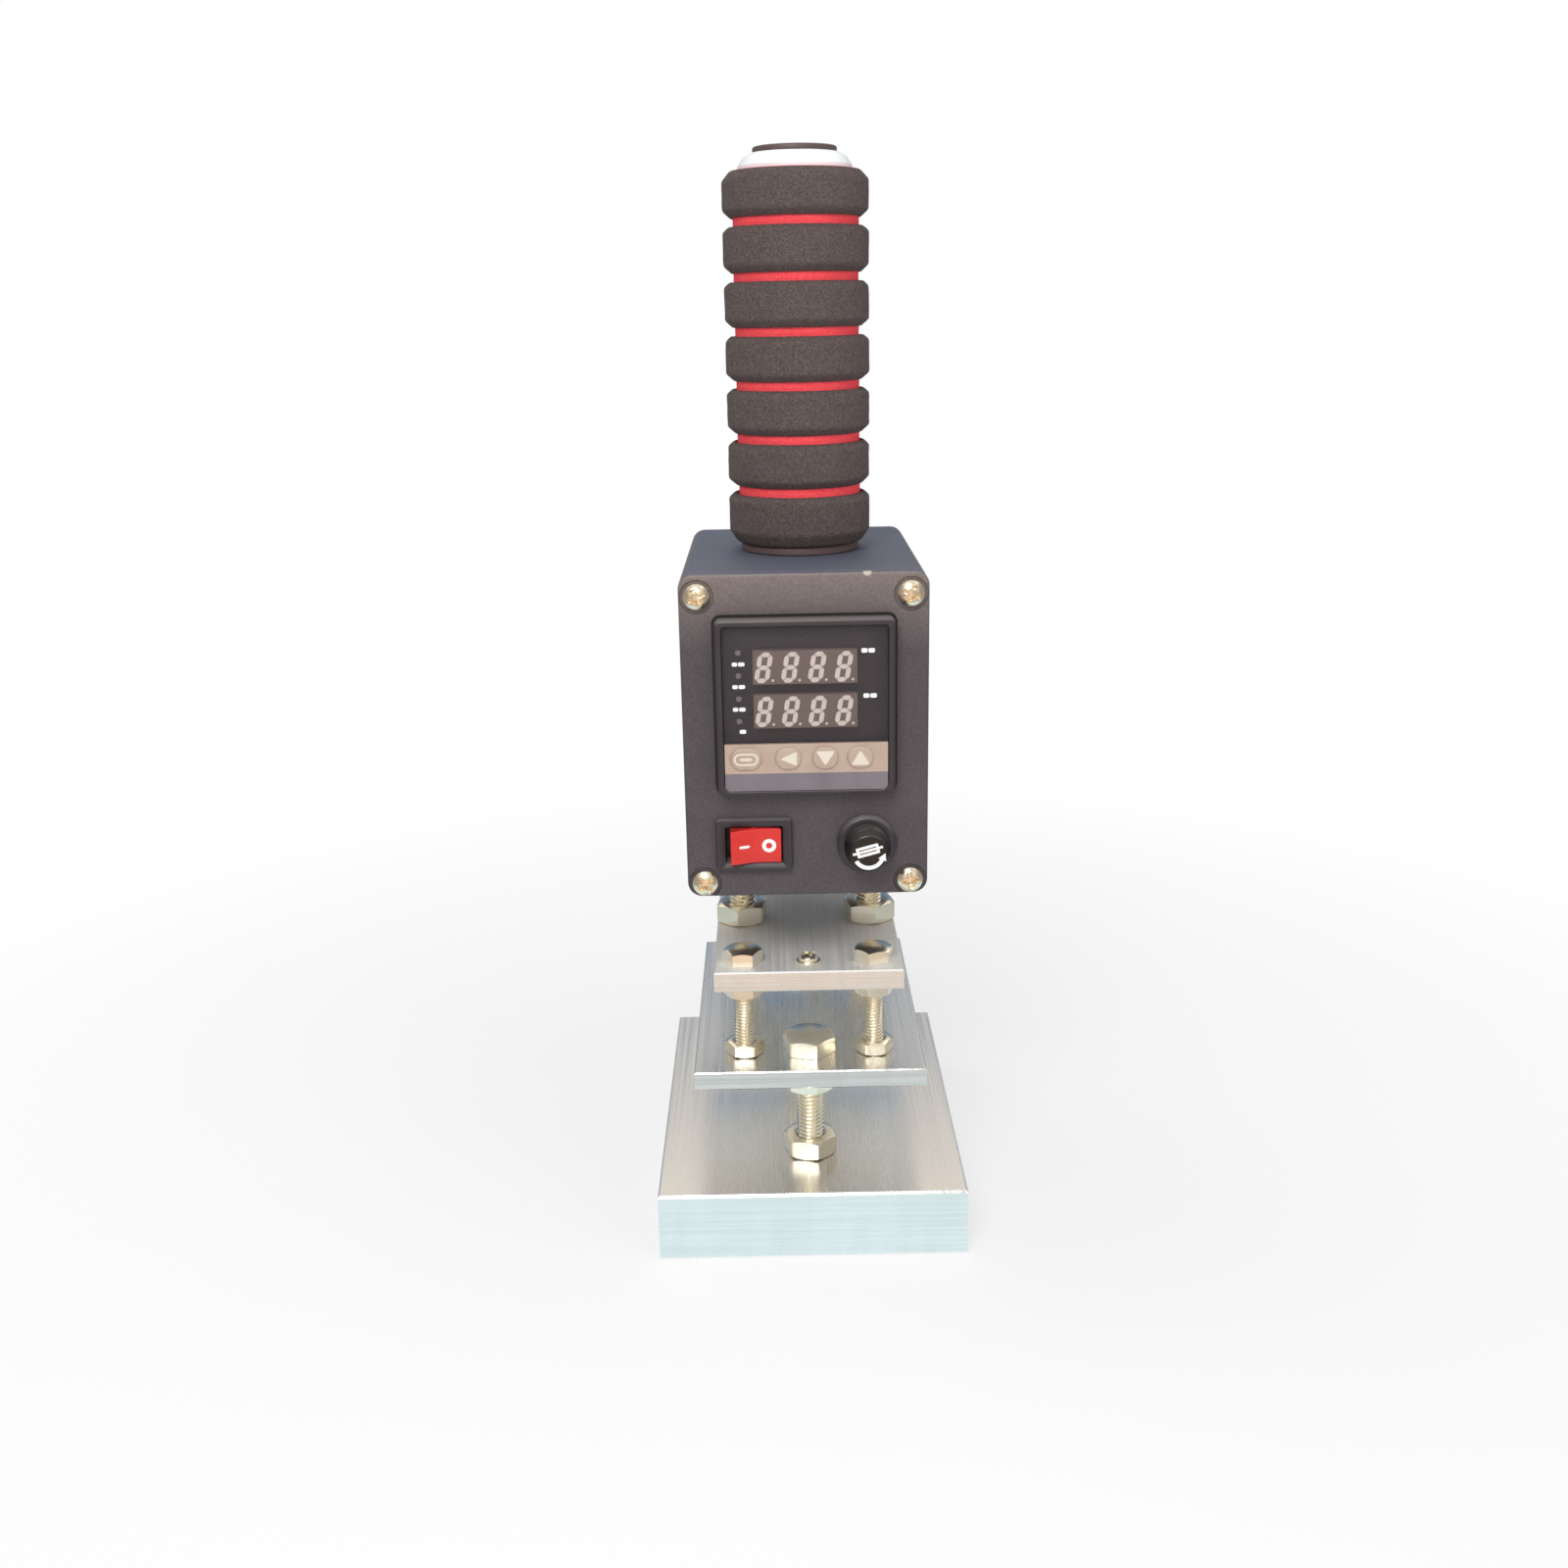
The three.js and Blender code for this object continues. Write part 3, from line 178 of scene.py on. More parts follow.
card = add_node(tree, "MapRange", {"From Min": 0.55, "From Max": 0.85, "Value": sideways})
room = add_node(tree, "Mix", RGBA | {0: card, 6: room, 7: SIDE_CARDS})
soft = add_node(tree, "Background", {"Color": linear("#eef2f8"), "Strength": 0.42})
white = add_node(tree, "Background", {"Color": linear("#ffffff")})
room = add_node(tree, "Background", {"Color": room, "Strength": 1.25})
both = add_node(tree, "MixShader", {0: seen, 1: soft, 2: white})
both = add_node(tree, "MixShader", {0: rays["Is Glossy Ray"], 1: both, 2: room})
set_up(tree.nodes["World Output"], {"Surface": both})
print("world made")

# %% Floor
SHEETS = [  # what lies on the floor for mirrors: millimetres in front or behind, and its colour
    (-450, "#ffe4cc"),
    (-216, "#ffe4cc"),
    (-190, "#a5a4a3"),
    (-172, "#a5a4a3"),
    (-128, "#e9fbff"),
    (-60, "#e9fbff"),
    (30, "#d6dadc"),
    (450, "#dcdad6"),
]
REACH = SHEETS[-1][0]
CARD, CARD_FADE = 120, 200  # where the darker cards begin at both sides, and how far they fade in
HALF_FLOOR = 12  # metres
floor_paint, tree, shader, place = new_material("matt white studio floor", Roughness=0.9)
set_up(shader, {"Base Color": linear("#f2f2f2")})
rays = add_node(tree, "LightPath").outputs
distance = add_node(tree, "VectorMath", {"operation": "LENGTH", 0: place})
fade = {"From Min": 0.12, "From Max": 0.42, "To Min": 0.55, "Value": distance}
white = add_node(tree, "MapRange", fade)
white = add_node(tree, "Math", {"operation": "MULTIPLY", 0: white, 1: rays["Is Camera Ray"]})
glow = add_node(tree, "MixShader", {0: white, 1: shader, 2: add_node(tree, "Emission")})
parts = add_node(tree, "SeparateXYZ", {0: place}).outputs
span = {"From Min": -REACH * MM, "From Max": REACH * MM, "Value": parts["Y"]}
sheet = add_node(tree, "ValToRGB", {0: add_node(tree, "MapRange", span)})
stops = sheet.color_ramp.elements
for spot, colour in SHEETS[1:-1]:
    stops.new((spot + REACH) / (2 * REACH))
for stop, (spot, colour) in zip(stops, SHEETS):
    stop.color = linear(colour)
sideways = add_node(tree, "Math", {"operation": "ABSOLUTE", 0: parts["X"]})
fade = {"From Min": CARD * MM, "From Max": (CARD + CARD_FADE) * MM, "To Max": 0.8, "Value": sideways}
card = add_node(tree, "MapRange", fade)
sheet = add_node(tree, "Mix", RGBA | {0: card, 6: sheet, 7: SIDE_CARDS})
mirror = add_node(tree, "Emission", {"Color": sheet})
seen = add_node(
    tree, "Math", {"operation": "MAXIMUM", 0: rays["Is Glossy Ray"], 1: rays["Is Transmission Ray"]}
)
both = add_node(tree, "MixShader", {0: seen, 1: glow, 2: mirror})
set_up(tree.nodes["Material Output"], {"Surface": both})

floor_mesh = bpy.data.meshes.new("floor")
corners = [(x * HALF_FLOOR, y * HALF_FLOOR, -0.0001) for x, y in ((-1, -1), (1, -1), (1, 1), (-1, 1))]
floor_mesh.from_pydata(corners, [], [(0, 1, 2, 3)])
floor_mesh.materials.append(floor_paint)
floor = bpy.data.objects.new("floor", floor_mesh)
bpy.context.scene.collection.objects.link(floor)
print("floor", 2 * HALF_FLOOR, "m square")

# %% Lamps
LAMPS = {  # the place in metres, the side of the square and the power
    "key": ((-0.12, -0.5, 0.56), 0.3, 2.3),
    "fill": ((0.9, -0.75, 0.5), 0.8, 3.2),
    "top": ((0.1, 0.1, 1.3), 1.5, 4.6),
    "back": ((-1.0, 0.6, 0.8), 0.8, 3.0),
}
AIM = (0, 0, 0.13)
for name, (spot, size, watts) in LAMPS.items():
    lamp = bpy.data.lights.new(name, "AREA")
    lamp.size = size
    lamp.energy = watts
    holder = bpy.data.objects.new(name, lamp)
    back = np.subtract(spot, AIM)
    back /= np.linalg.norm(back)
    side = np.cross([0, 1, 0.01], back)
    side /= np.linalg.norm(side)
    turn = Matrix(np.array([side, np.cross(back, side), back]).T.tolist()).to_4x4()
    holder.matrix_world = Matrix.Translation(spot) @ turn
    holder.visible_glossy = name in ("key", "top")
    bpy.context.scene.collection.objects.link(holder)
print("lamps", ", ".join(LAMPS))

# %% [markdown]
# ## Milled aluminium
# The block and both plates are flat bar of a soft aluminium alloy, milled and then rubbed down
# along their length. It is a bright mirror with a blur: close to a nut the plate shows the nut's
# reflection, further off only its light. The rubbing leaves streaks that run from front to back
# on the flats. On the sawn and milled edges they run level instead, so the surface's normal
# picks which of two stretched noises roughens it. The upper plate's flats were rubbed coarser and
# are duller, and their oxide film scatters a little light by itself.

# %% Milled aluminium
aluminium, tree, shader, place = new_material("milled aluminium flat bar", Metallic=1.0)
level = add_node(tree, "Math", {"operation": "ABSOLUTE", 0: facing_up(tree)})
on_flat = add_node(tree, "Mapping", {"Scale": (every(0.9), every(120), every(9)), "Vector": place})
on_edge = add_node(tree, "Mapping", {"Scale": (every(40), every(40), every(0.7)), "Vector": place})
stretch = add_node(tree, "Mix", {"data_type": "VECTOR", 0: level, 4: on_edge, 5: on_flat})
grain = add_node(tree, "TexNoise", {"Scale": 1.0, "Detail": 1.5, "Vector": stretch})
broad = add_node(tree, "Mapping", {"Scale": (every(7), every(90), every(30)), "Vector": place})
broad = add_node(tree, "TexNoise", {"Scale": 1.0, "Detail": 3.0, "Vector": broad})
tone = add_node(tree, "Mix", RGBA | {0: broad, 6: linear("#ebebe9"), 7: linear("#fafaf9")})
line = add_node(tree, "MapRange", {"From Min": 0.35, "From Max": 0.65, "To Min": 0.92, "Value": grain})
streak = add_node(tree, "Mix", RGBA | {"blend_type": "MULTIPLY", 0: 1.0, 6: tone, 7: line})
blur = {"From Min": 0.3, "From Max": 0.7, "To Min": 0.22, "To Max": 0.33, "Value": grain}
blur = add_node(tree, "MapRange", blur)
dulled = add_node(tree, "Math", {"operation": "MULTIPLY_ADD", 0: level, 1: 0.0, 2: blur})
ridge = add_node(tree, "Bump", {"Strength": 0.035, "Distance": 0.00005, "Height": grain})
set_up(shader, {"Base Color": streak, "Roughness": dulled, "Normal": ridge})


def finish(node_names, material):
    """Puts the material in every slot of these solids, which keep their own shape."""
    for name in node_names:
        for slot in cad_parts[name].material_slots:
            slot.material = material


dull_aluminium = aluminium.copy()
dull_aluminium.name = "rubbed aluminium flat bar"
set_up(dull_aluminium.node_tree.nodes[dulled.name], {1: 0.5})
set_up(dull_aluminium.node_tree.nodes["Principled BSDF"], {"Metallic": 0.86})
finish(["heater_block", "lower_plate", "handle_core"], aluminium)
finish(["upper_plate"], dull_aluminium)
print("aluminium on the block, the plates and the tube in the grip")

# %% [markdown]
# ## Zinc-plated steel
# The bolts and nuts are cold-formed steel with a bright zinc plating, cream rather than blue. It
# lies thinly on a surface that was rolled or pressed, so the blur varies a little in patches.

# %% Zinc-plated steel
zinc, tree, shader, place = new_material("bright zinc-plated steel", Metallic=1.0)
patch = add_node(tree, "TexNoise", {"Scale": every(4), "Vector": place})
blur = add_node(tree, "MapRange", {"To Min": 0.16, "To Max": 0.3, "Value": patch})
dent = add_node(tree, "Bump", {"Strength": 0.06, "Distance": 0.00006, "Height": patch})
set_up(shader, {"Base Color": linear("#fbf4e2"), "Roughness": blur, "Normal": dent})
nickel = zinc.copy()
nickel.name = "nickel-plated screw steel"
set_up(nickel.node_tree.nodes["Principled BSDF"], {"Base Color": linear("#f4e8d3")})
finish(["handle_bolt", "handle_nut"], zinc)
print("zinc and nickel ready")

# %% [markdown]
# ## Black powder coat on a casting
# The box and its lid are die-cast and sprayed with a fine black powder that melts into a skin.
# The skin shrinks into the tiny hills and dales that painters call orange peel, here about a
# millimetre apart, with a finer grain on them. In plain light such a black looks dark grey.
# A painted sheen pales the top of the box, a painted blue reflection of the room's sky, and runs
# out down the walls, where it is warmer. One knock on the lid's upper edge has bared the metal.

# %% Powder coat
PAINTED_SHEEN_HEIGHTS = (174, 196)  # the heights between which the painted sheen grows, in millimetres
CHIP = (16.8, -45.6, 194.9)  # where the lid's edge has been knocked
powder, tree, shader, place = new_material("black powder coat, fine texture")
peel = add_node(tree, "TexNoise", {"Scale": every(1.1), "Roughness": 0.4, "Vector": place})
grit = add_node(tree, "TexNoise", {"Scale": every(0.6), "Vector": place})
cloud = add_node(tree, "TexNoise", {"Scale": every(14), "Detail": 3.0, "Vector": place})
tone = add_node(tree, "Mix", RGBA | {0: cloud, 6: linear("#474046"), 7: linear("#554e53")})
height = add_node(tree, "SeparateXYZ", {0: place}).outputs["Z"]
# Painted sheen: the coat is mixed towards a paler colour the higher it lies, as the light would make it.
painted_sheen = {"From Min": PAINTED_SHEEN_HEIGHTS[0] * MM, "From Max": PAINTED_SHEEN_HEIGHTS[1] * MM, "To Max": 0.75, "Value": height}
painted_sheen = add_node(tree, "MapRange", painted_sheen)
lying = add_node(tree, "MapRange", {"From Min": 0.6, "From Max": 0.95, "Value": facing_up(tree)})
# Painted light: a painted blue reflection of the sky where the box faces up, warmer on the walls.
sheen_colour = add_node(tree, "Mix", RGBA | {0: lying, 6: linear("#887a73"), 7: linear("#5b6172")})
tone = add_node(tree, "Mix", RGBA | {0: painted_sheen, 6: tone, 7: sheen_colour})
fleck = add_node(tree, "Mix", RGBA | {"blend_type": "OVERLAY", 0: 0.4, 6: tone, 7: grit})
away = add_node(tree, "VectorMath", {"operation": "DISTANCE", 0: place, 1: [c * MM for c in CHIP]})
bare = {"From Min": 1.3 * MM, "From Max": 0.9 * MM, "To Max": 0.8, "Value": away}
bare = add_node(tree, "MapRange", bare)
chipped = add_node(tree, "Mix", RGBA | {0: bare, 6: fleck, 7: linear("#cdc2b4")})
blur = add_node(tree, "MapRange", {"To Min": 0.42, "To Max": 0.6, "Value": grit})
hills = add_node(tree, "Bump", {"Strength": 0.3, "Distance": 0.00012, "Height": peel})
grains = {"Strength": 0.3, "Distance": 0.00005, "Height": grit, "Normal": hills}
grains = add_node(tree, "Bump", grains)
set_up(shader, {"Base Color": chipped, "Roughness": blur, "Normal": grains})
print("powder coat ready")

# %% [markdown]
# ## Moulded plastics
# The meter's case, the switch and the fuse holder are moulded in hard black plastics. A spark-
# eroded mould leaves the meter's bezel a fine matt grain, and a polished one leaves the fuse cap
# smooth, with the slight waviness of thick mouldings. The rocker is the same smooth kind in a
# clear red, and the grip's end cap a soft white one. On the black ones a painted highlight
# pales every face that looks up, as light from above would.

# %% Plastics
PLASTICS = {  # colour, roughness, millimetres from grain to grain, its depth, and the painted light on upward faces
    "satin": ("black ABS, spark-eroded finish", "#353035", 0.42, 0.5, 0.15, 0.5),
    "gloss": ("black nylon, polished mould", "#131113", 0.2, 6.0, 0.04, 0.22),
    "dull": ("brown black polypropylene", "#5b4a48", 0.5, 0.8, 0.15, 0.1),
    "red": ("red polycarbonate, polished mould", "#d8322c", 0.26, 5.0, 0.12, 0.0),
    "white": ("white polyethylene, moulded", "#eef0f0", 0.38, 3.0, 0.12, 0.0),
}
plastics = {}
for key, (name, colour, roughness, grain_mm, depth, painted_top_light) in PLASTICS.items():
    material, tree, shader, place = new_material(name)
    shade = add_node(tree, "TexNoise", {"Scale": every(9), "Vector": place})
    tone = {"blend_type": "SOFT_LIGHT", 0: 0.18, 6: linear(colour), 7: shade}
    tone = add_node(tree, "Mix", RGBA | tone)
    # Painted light: faces that look up are mixed towards a pale grey, as if lit from above.
    if painted_top_light:
        lying = {"From Min": 0.2, "From Max": 0.9, "To Max": painted_top_light, "Value": facing_up(tree)}
        lying = add_node(tree, "MapRange", lying)
        tone = add_node(tree, "Mix", RGBA | {0: lying, 6: tone, 7: linear("#938985")})
    grain = add_node(tree, "TexNoise", {"Scale": every(grain_mm), "Detail": 3.0, "Vector": place})
    blur = {"To Min": roughness - 0.05, "To Max": roughness + 0.07, "Value": grain}
    blur = add_node(tree, "MapRange", blur)
    bump = add_node(tree, "Bump", {"Strength": depth, "Distance": 0.0001, "Height": grain})
    set_up(shader, {"Base Color": tone, "Roughness": blur, "Normal": bump})
    plastics[key] = material
finish(["meter_clamp", "fuse_holder_nut"], plastics["satin"])
print("plastics", ", ".join(plastics))

# %% [markdown]
# ## Small plain pieces
# The smallest pieces need no more than their colour and gloss, with the slight unevenness that
# all real stuff has: rubber blooms, ink lies thick or thin, epoxy and ceramic are speckled. The
# meter's window keeps its solid and gets a dark, glossy finish that is mostly see-through, and
# so is the fuse's glass.

# %% Plain materials
PLAIN = {  # darker and lighter colour, millimetres between patches, detail, roughness, opacity
    "rubber": ("black rubber sheet", "#161415", "#211e1f", 3, 3.0, 0.8, 1.0),
    "inside": ("black ABS, plain moulded", "#302b2f", "#383337", 12, 1.0, 0.5, 1.0),
    "window": ("smoked acrylic window", "#565055", "#5e575c", 20, 1.0, 0.05, 0.14),
    "epoxy": ("grey display epoxy", "#7c6660", "#87726b", 0.8, 2.0, 0.6, 1.0),
    "ink": ("white screen-printed ink", "#efece6", "#ffffff", 0.5, 2.0, 0.55, 1.0),
    "resin": ("milky segment resin", "#f6e4d6", "#fff2e8", 0.5, 2.0, 0.55, 1.0),
    "cream": ("cream screen-printed ink", "#ddd0bd", "#e8dccb", 0.5, 2.0, 0.55, 1.0),
    "diode": ("unlit indicator lamp", "#5d565a", "#77707a", 1.0, 2.0, 0.3, 1.0),
    "glass": ("soda glass tube", "#e9f2f0", "#ffffff", 4, 2.0, 0.03, 0.3),
    "ceramic": ("white steatite ceramic", "#d9d2c4", "#efeade", 0.7, 3.0, 0.7, 1.0),
}
plain = {}
for key, (name, dark, light, mm, detail, roughness, opacity) in PLAIN.items():
    plain[key], tree, shader, place = new_material(name, Roughness=roughness, Alpha=opacity)
    patch = add_node(tree, "TexNoise", {"Scale": every(mm), "Detail": detail, "Vector": place})
    tone = add_node(tree, "Mix", RGBA | {0: patch, 6: linear(dark), 7: linear(light)})
    set_up(shader, {"Base Color": tone})
finish(["meter_window"], plain["window"])
print("plain materials", ", ".join(plain))

# %% [markdown]
# ## Foam
# The grip is cut from closed-cell foam and ground to size. The grinding opens the outermost
# cells, about half a millimetre across, so the surface is a dense speckle of tiny pits that
# never shines. A Voronoi pattern gives the cells, and a noise makes some deeper than others.
# The deeper a pit, the darker its colour: a painted shade in the open cells.

# %% Foam
foams = {}
# For each foam: the colour of the cell walls, and the darker colour of the pits, which is painted shade.
for name, walls, pits in [("black foam", "#645855", "#483e3c"), ("red foam", "#ff5b61", "#f5454d")]:
    foams[name], tree, shader, place = new_material(name + ", ground surface", Roughness=0.95)
    wobble = add_node(tree, "TexNoise", {"Scale": every(1.1), "Vector": place})
    cells = add_node(tree, "TexVoronoi", {"Scale": every(0.5), "Vector": place})
    mixed = add_node(tree, "Math", {"operation": "MULTIPLY_ADD", 0: wobble, 1: 0.6, 2: cells})
    cell = add_node(tree, "MapRange", {"From Min": 0.4, "From Max": 1.1, "Value": mixed})
    tone = add_node(tree, "Mix", RGBA | {0: cell, 6: linear(pits), 7: linear(walls)})
    bump = add_node(tree, "Bump", {"Strength": 0.55, "Distance": 0.0002, "Height": cell})
    set_up(shader, {"Base Color": tone, "Normal": bump, "Specular IOR Level": 0.25})
print("foams", ", ".join(foams))

# %% [markdown]
# ## Shapes from profiles
# Nearly every piece of a machine is either turned on a lathe or a flat outline carried along a
# depth, so a few functions make them all. Each one returns rows of points: a grid in which every
# row is a closed ring. Corners are broken first, because a real edge always catches the light.
# All sizes are in millimetres, and only the last step turns them to metres.

# %% Rounded outlines


def rounded(points, radii, steps=5, closed=True):
    """The polygon with each corner replaced by an arc that touches both of its sides. With half
    the corner's angle a, the arc starts r / tan(a) from the corner and its centre lies r / sin(a)
    along the line that halves the corner; between both ends it turns at an even rate."""
    points = np.asarray(points, float)
    radii = np.array(np.broadcast_to(radii, len(points)), float)[:, None]
    if not closed:
        radii[[0, -1]] = 0
    back = np.roll(points, 1, 0) - points
    on = np.roll(points, -1, 0) - points
    back /= np.linalg.norm(back, axis=1)[:, None]
    on /= np.linalg.norm(on, axis=1)[:, None]
    half = np.arccos(np.clip((back * on).sum(1), -1, 1))[:, None] / 2
    half = np.clip(half, 0.01, np.pi / 2 - 0.01)
    middle = back + on
    middle /= np.maximum(np.linalg.norm(middle, axis=1)[:, None], 1e-9)
    centre = points + middle * radii / np.sin(half)
    start = points + back * radii / np.tan(half) - centre
    end = points + on * radii / np.tan(half) - centre
    sweep = (np.pi - 2 * half)[:, :, None]
    s = np.linspace(0, 1, steps + 1)[None, :, None]
    arc = np.sin((1 - s) * sweep) * start[:, None] + np.sin(s * sweep) * end[:, None]
    path = (centre[:, None] + arc / np.sin(sweep)).reshape(-1, 2)
    step = np.linalg.norm(path - np.roll(path, 1, 0), axis=1)
    step[0] = step[0] if closed else 1
    return path[step > 1e-6]


def rectangle(width, height, radius, steps=5):
    """A rectangle centred on the origin whose corners are quarter circles: the circle's points,
    each moved out by what the width and the height leave beside the radius."""
    radius = max(min(radius, width / 2, height / 2), 0.01)
    quarter, s = np.divmod(np.arange(4 * (steps + 1)), steps + 1)
    angle = (quarter + s / steps) * np.pi / 2
    circle = radius * np.column_stack([np.cos(angle), np.sin(angle)])
    corner = np.column_stack([np.where(quarter % 3 == 0, 1, -1), np.where(quarter < 2, 1, -1)])
    return circle + corner * np.maximum([width / 2 - radius, height / 2 - radius], 0)


print("a rounded rectangle has", len(rectangle(4, 3, 1)), "points")

# %% Surfaces from outlines and profiles


def full_turn(segments):
    """Angles once round, without the last, which is the first again."""
    return np.linspace(0, 2 * np.pi, segments, endpoint=False)


def stacked(loops, heights):
    """Loops with equally many points, one above the other: row i is loop i at height i."""
    loops = np.stack([np.asarray(loop, float) for loop in loops])
    level = np.broadcast_to(np.asarray(heights, float)[:, None], loops.shape[:2])
    return np.dstack([loops, level])


def slab(width, height, radius, bottom, top, edge, steps=5):
    """A plate with round corners and edges. Its side is a profile of (inset, level), rounded by
    the edge, and each of its points gives a rectangle that much smaller; the ends close."""
    middle = min(width, height) / 2
    side = rounded([[middle, bottom], [0, bottom], [0, top], [middle, top]], edge, 4, False)
    loops = [rectangle(width - 2 * i, height - 2 * i, radius - i, steps) * (i < middle) for i, _ in side]
    return stacked(loops, side[:, 1])


def turned(profile, segments=64, swell=0):
    """A surface of revolution: a profile point (r, h) becomes a ring of radius r + swell at the
    height h, where swell may vary with the row and the angle."""
    profile = np.asarray(profile, float)
    angle = full_turn(segments)
    r = profile[:, :1] + swell
    h = profile[:, 1:] + 0 * angle
    return np.dstack([r * np.cos(angle) + 0 * h, r * np.sin(angle) + 0 * h, h])


def disc(radius, bottom, top, edge, segments):
    """A solid of revolution with straight sides, its two rims rounded by the edge."""
    corners = [[0, bottom], [radius, bottom], [radius, top], [0, top]]
    return turned(rounded(corners, edge, 3, False) if edge else corners, segments)


def ring(profile, radii, segments, spacing=None):
    """A closed profile turned about the axis, as for a tube: its last row is its first again. With
    a spacing its points are laid out evenly, that far apart."""
    outline = rounded(profile, radii)
    outline = np.vstack([outline, outline[:1]])
    if spacing:
        run = np.r_[0, np.cumsum(np.linalg.norm(np.diff(outline, axis=0), axis=1))]
        even = np.linspace(0, run[-1], int(run[-1] / spacing) + 1)
        outline = np.column_stack([np.interp(even, run, outline[:, k]) for k in (0, 1)])
    return turned(outline, segments)


def facing(points, way, centre=(0, 0, 0)):
    """Points built along +Z, laid so that their height runs up, to the front or to the rear."""
    axes = {
        "up": [[1, 0, 0], [0, 1, 0], [0, 0, 1]],
        "front": [[1, 0, 0], [0, 0, -1], [0, 1, 0]],
        "rear": [[-1, 0, 0], [0, 0, 1], [0, 1, 0]],
    }
    return points @ np.array(axes[way], float).T + np.array(centre, float)


def spun(points, degrees):
    """Points turned about the Z axis."""
    c, s = np.cos(np.radians(degrees)), np.sin(np.radians(degrees))
    return points @ np.array([[c, s, 0], [-s, c, 0], [0, 0, 1]])


print("a slab has", slab(10, 8, 1, 0, 2, 0.3).shape[0], "rows")

# %% [markdown]
# Next comes the only function that touches Blender's meshes. It joins the grids of one piece,
# closes their seams and poles by merging points that lie on each other, lets Blender turn all
# faces outwards, and shades smoothly except over sharp corners. The piece then rides on a body.
# Its UV map counts turns around and millimetres along, for the patterns that follow a surface.

# %% From points to pieces


def make_piece(name, shells, material, slot, nodes=(), body="machine", way="up", spot=(0, 0, 0), sharp=34):
    """One object that stands for these nodes. It is made of grids of points (rows, columns, 3)
    whose columns close into rings, laid the given way at the given spot."""
    faces, uvs, start = [], [], 0
    shells = [facing(shell, way, spot) for shell in shells]
    for shell in shells:
        rows, columns = shell.shape[:2]
        r, c = (index.ravel() for index in np.mgrid[0 : rows - 1, 0:columns])
        after = (c + 1) % columns
        corners = [r * columns + c, r * columns + after, (r + 1) * columns + after, (r + 1) * columns + c]
        faces.append(start + np.stack(corners, 1))
        run = np.r_[0, np.cumsum(np.linalg.norm(np.diff(shell, axis=0), axis=2).mean(1))]
        around = np.stack([c, c + 1, c + 1, c], 1) / columns
        uvs.append(np.dstack([around, run[np.stack([r, r, r + 1, r + 1], 1)]]))
        start += rows * columns
    points = np.concatenate([shell.reshape(-1, 3) for shell in shells]) * MM
    mesh = bpy.data.meshes.new(name)
    mesh.from_pydata(points.tolist(), [], np.concatenate(faces).tolist())
    layer = mesh.uv_layers.new(name="turns_and_mm")
    layer.data.foreach_set("uv", np.concatenate(uvs).ravel())
    shape = bmesh.new()
    shape.from_mesh(mesh)
    bmesh.ops.remove_doubles(shape, verts=shape.verts, dist=2e-7)
    bmesh.ops.recalc_face_normals(shape, faces=shape.faces)
    shape.to_mesh(mesh)
    shape.free()
    mesh.materials.append(material)
    made = bpy.data.objects.new(name, mesh)
    bpy.context.scene.collection.objects.link(made)
    smooth(made, sharp)
    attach(made, body)
    if nodes:
        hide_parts(*nodes)
    return made


def smooth(piece, sharp):
    """Smooth shading, broken where two faces meet at more than this many degrees."""
    piece.data.shade_smooth()
    piece.data.set_sharp_from_angle(angle=np.radians(sharp))


def box_of(name):
    """A CAD node's lowest and highest corner in millimetres."""
    low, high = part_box(name)
    return np.array(low) / MM, np.array(high) / MM


def middle_of(name):
    """The middle of a CAD node's box in millimetres."""
    return sum(box_of(name)) / 2


print("the box spans", *[corner.round(1) for corner in box_of("enclosure_body")])

# %% [markdown]
# ## Bolts and nuts
# A thread is a groove wound round a bar. Seen along the bar, the radius rises and falls once in
# each pitch, and the pattern shifts by one pitch for each turn, so the radius depends only on
# the height less the turned share of the pitch. Hexagons start as a circle and are cut by six
# flats; turning their corners off with a cone gives the bright arcs that every nut shows.

# %% Threads and hexagons
M8 = {"across": 8, "pitch": 1.25, "flats": 14, "head": 5, "nut": 6}
M6 = {"across": 6, "pitch": 1.0, "flats": 10, "head": 4, "nut": 4}


def threaded(size, bottom, top, segments=32, per_pitch=6):
    """A threaded bar. Its radius is the outer one less the thread's depth where the saw-tooth
    |2 frac(h / pitch - turn) - 1| is low, flattened at crest and root; a cone breaks the tip."""
    outer, pitch = size["across"] / 2, size["pitch"]
    h = np.linspace(bottom, top, int((top - bottom) / pitch * per_pitch))[:, None]
    angle = full_turn(segments)[None]
    tooth = np.abs(2 * ((h / pitch - angle / (2 * np.pi)) % 1) - 1)
    r = outer - 0.6 * pitch * (1 - np.clip(1.35 * tooth - 0.1, 0, 1))
    r = np.minimum(r, outer - pitch + (h - bottom))
    rows = np.dstack([r * np.cos(angle), r * np.sin(angle), h + 0 * r])
    ends = [np.zeros((1, segments, 3)) + [0, 0, level] for level in (bottom, top)]
    return np.concatenate([ends[0], rows, ends[1]])


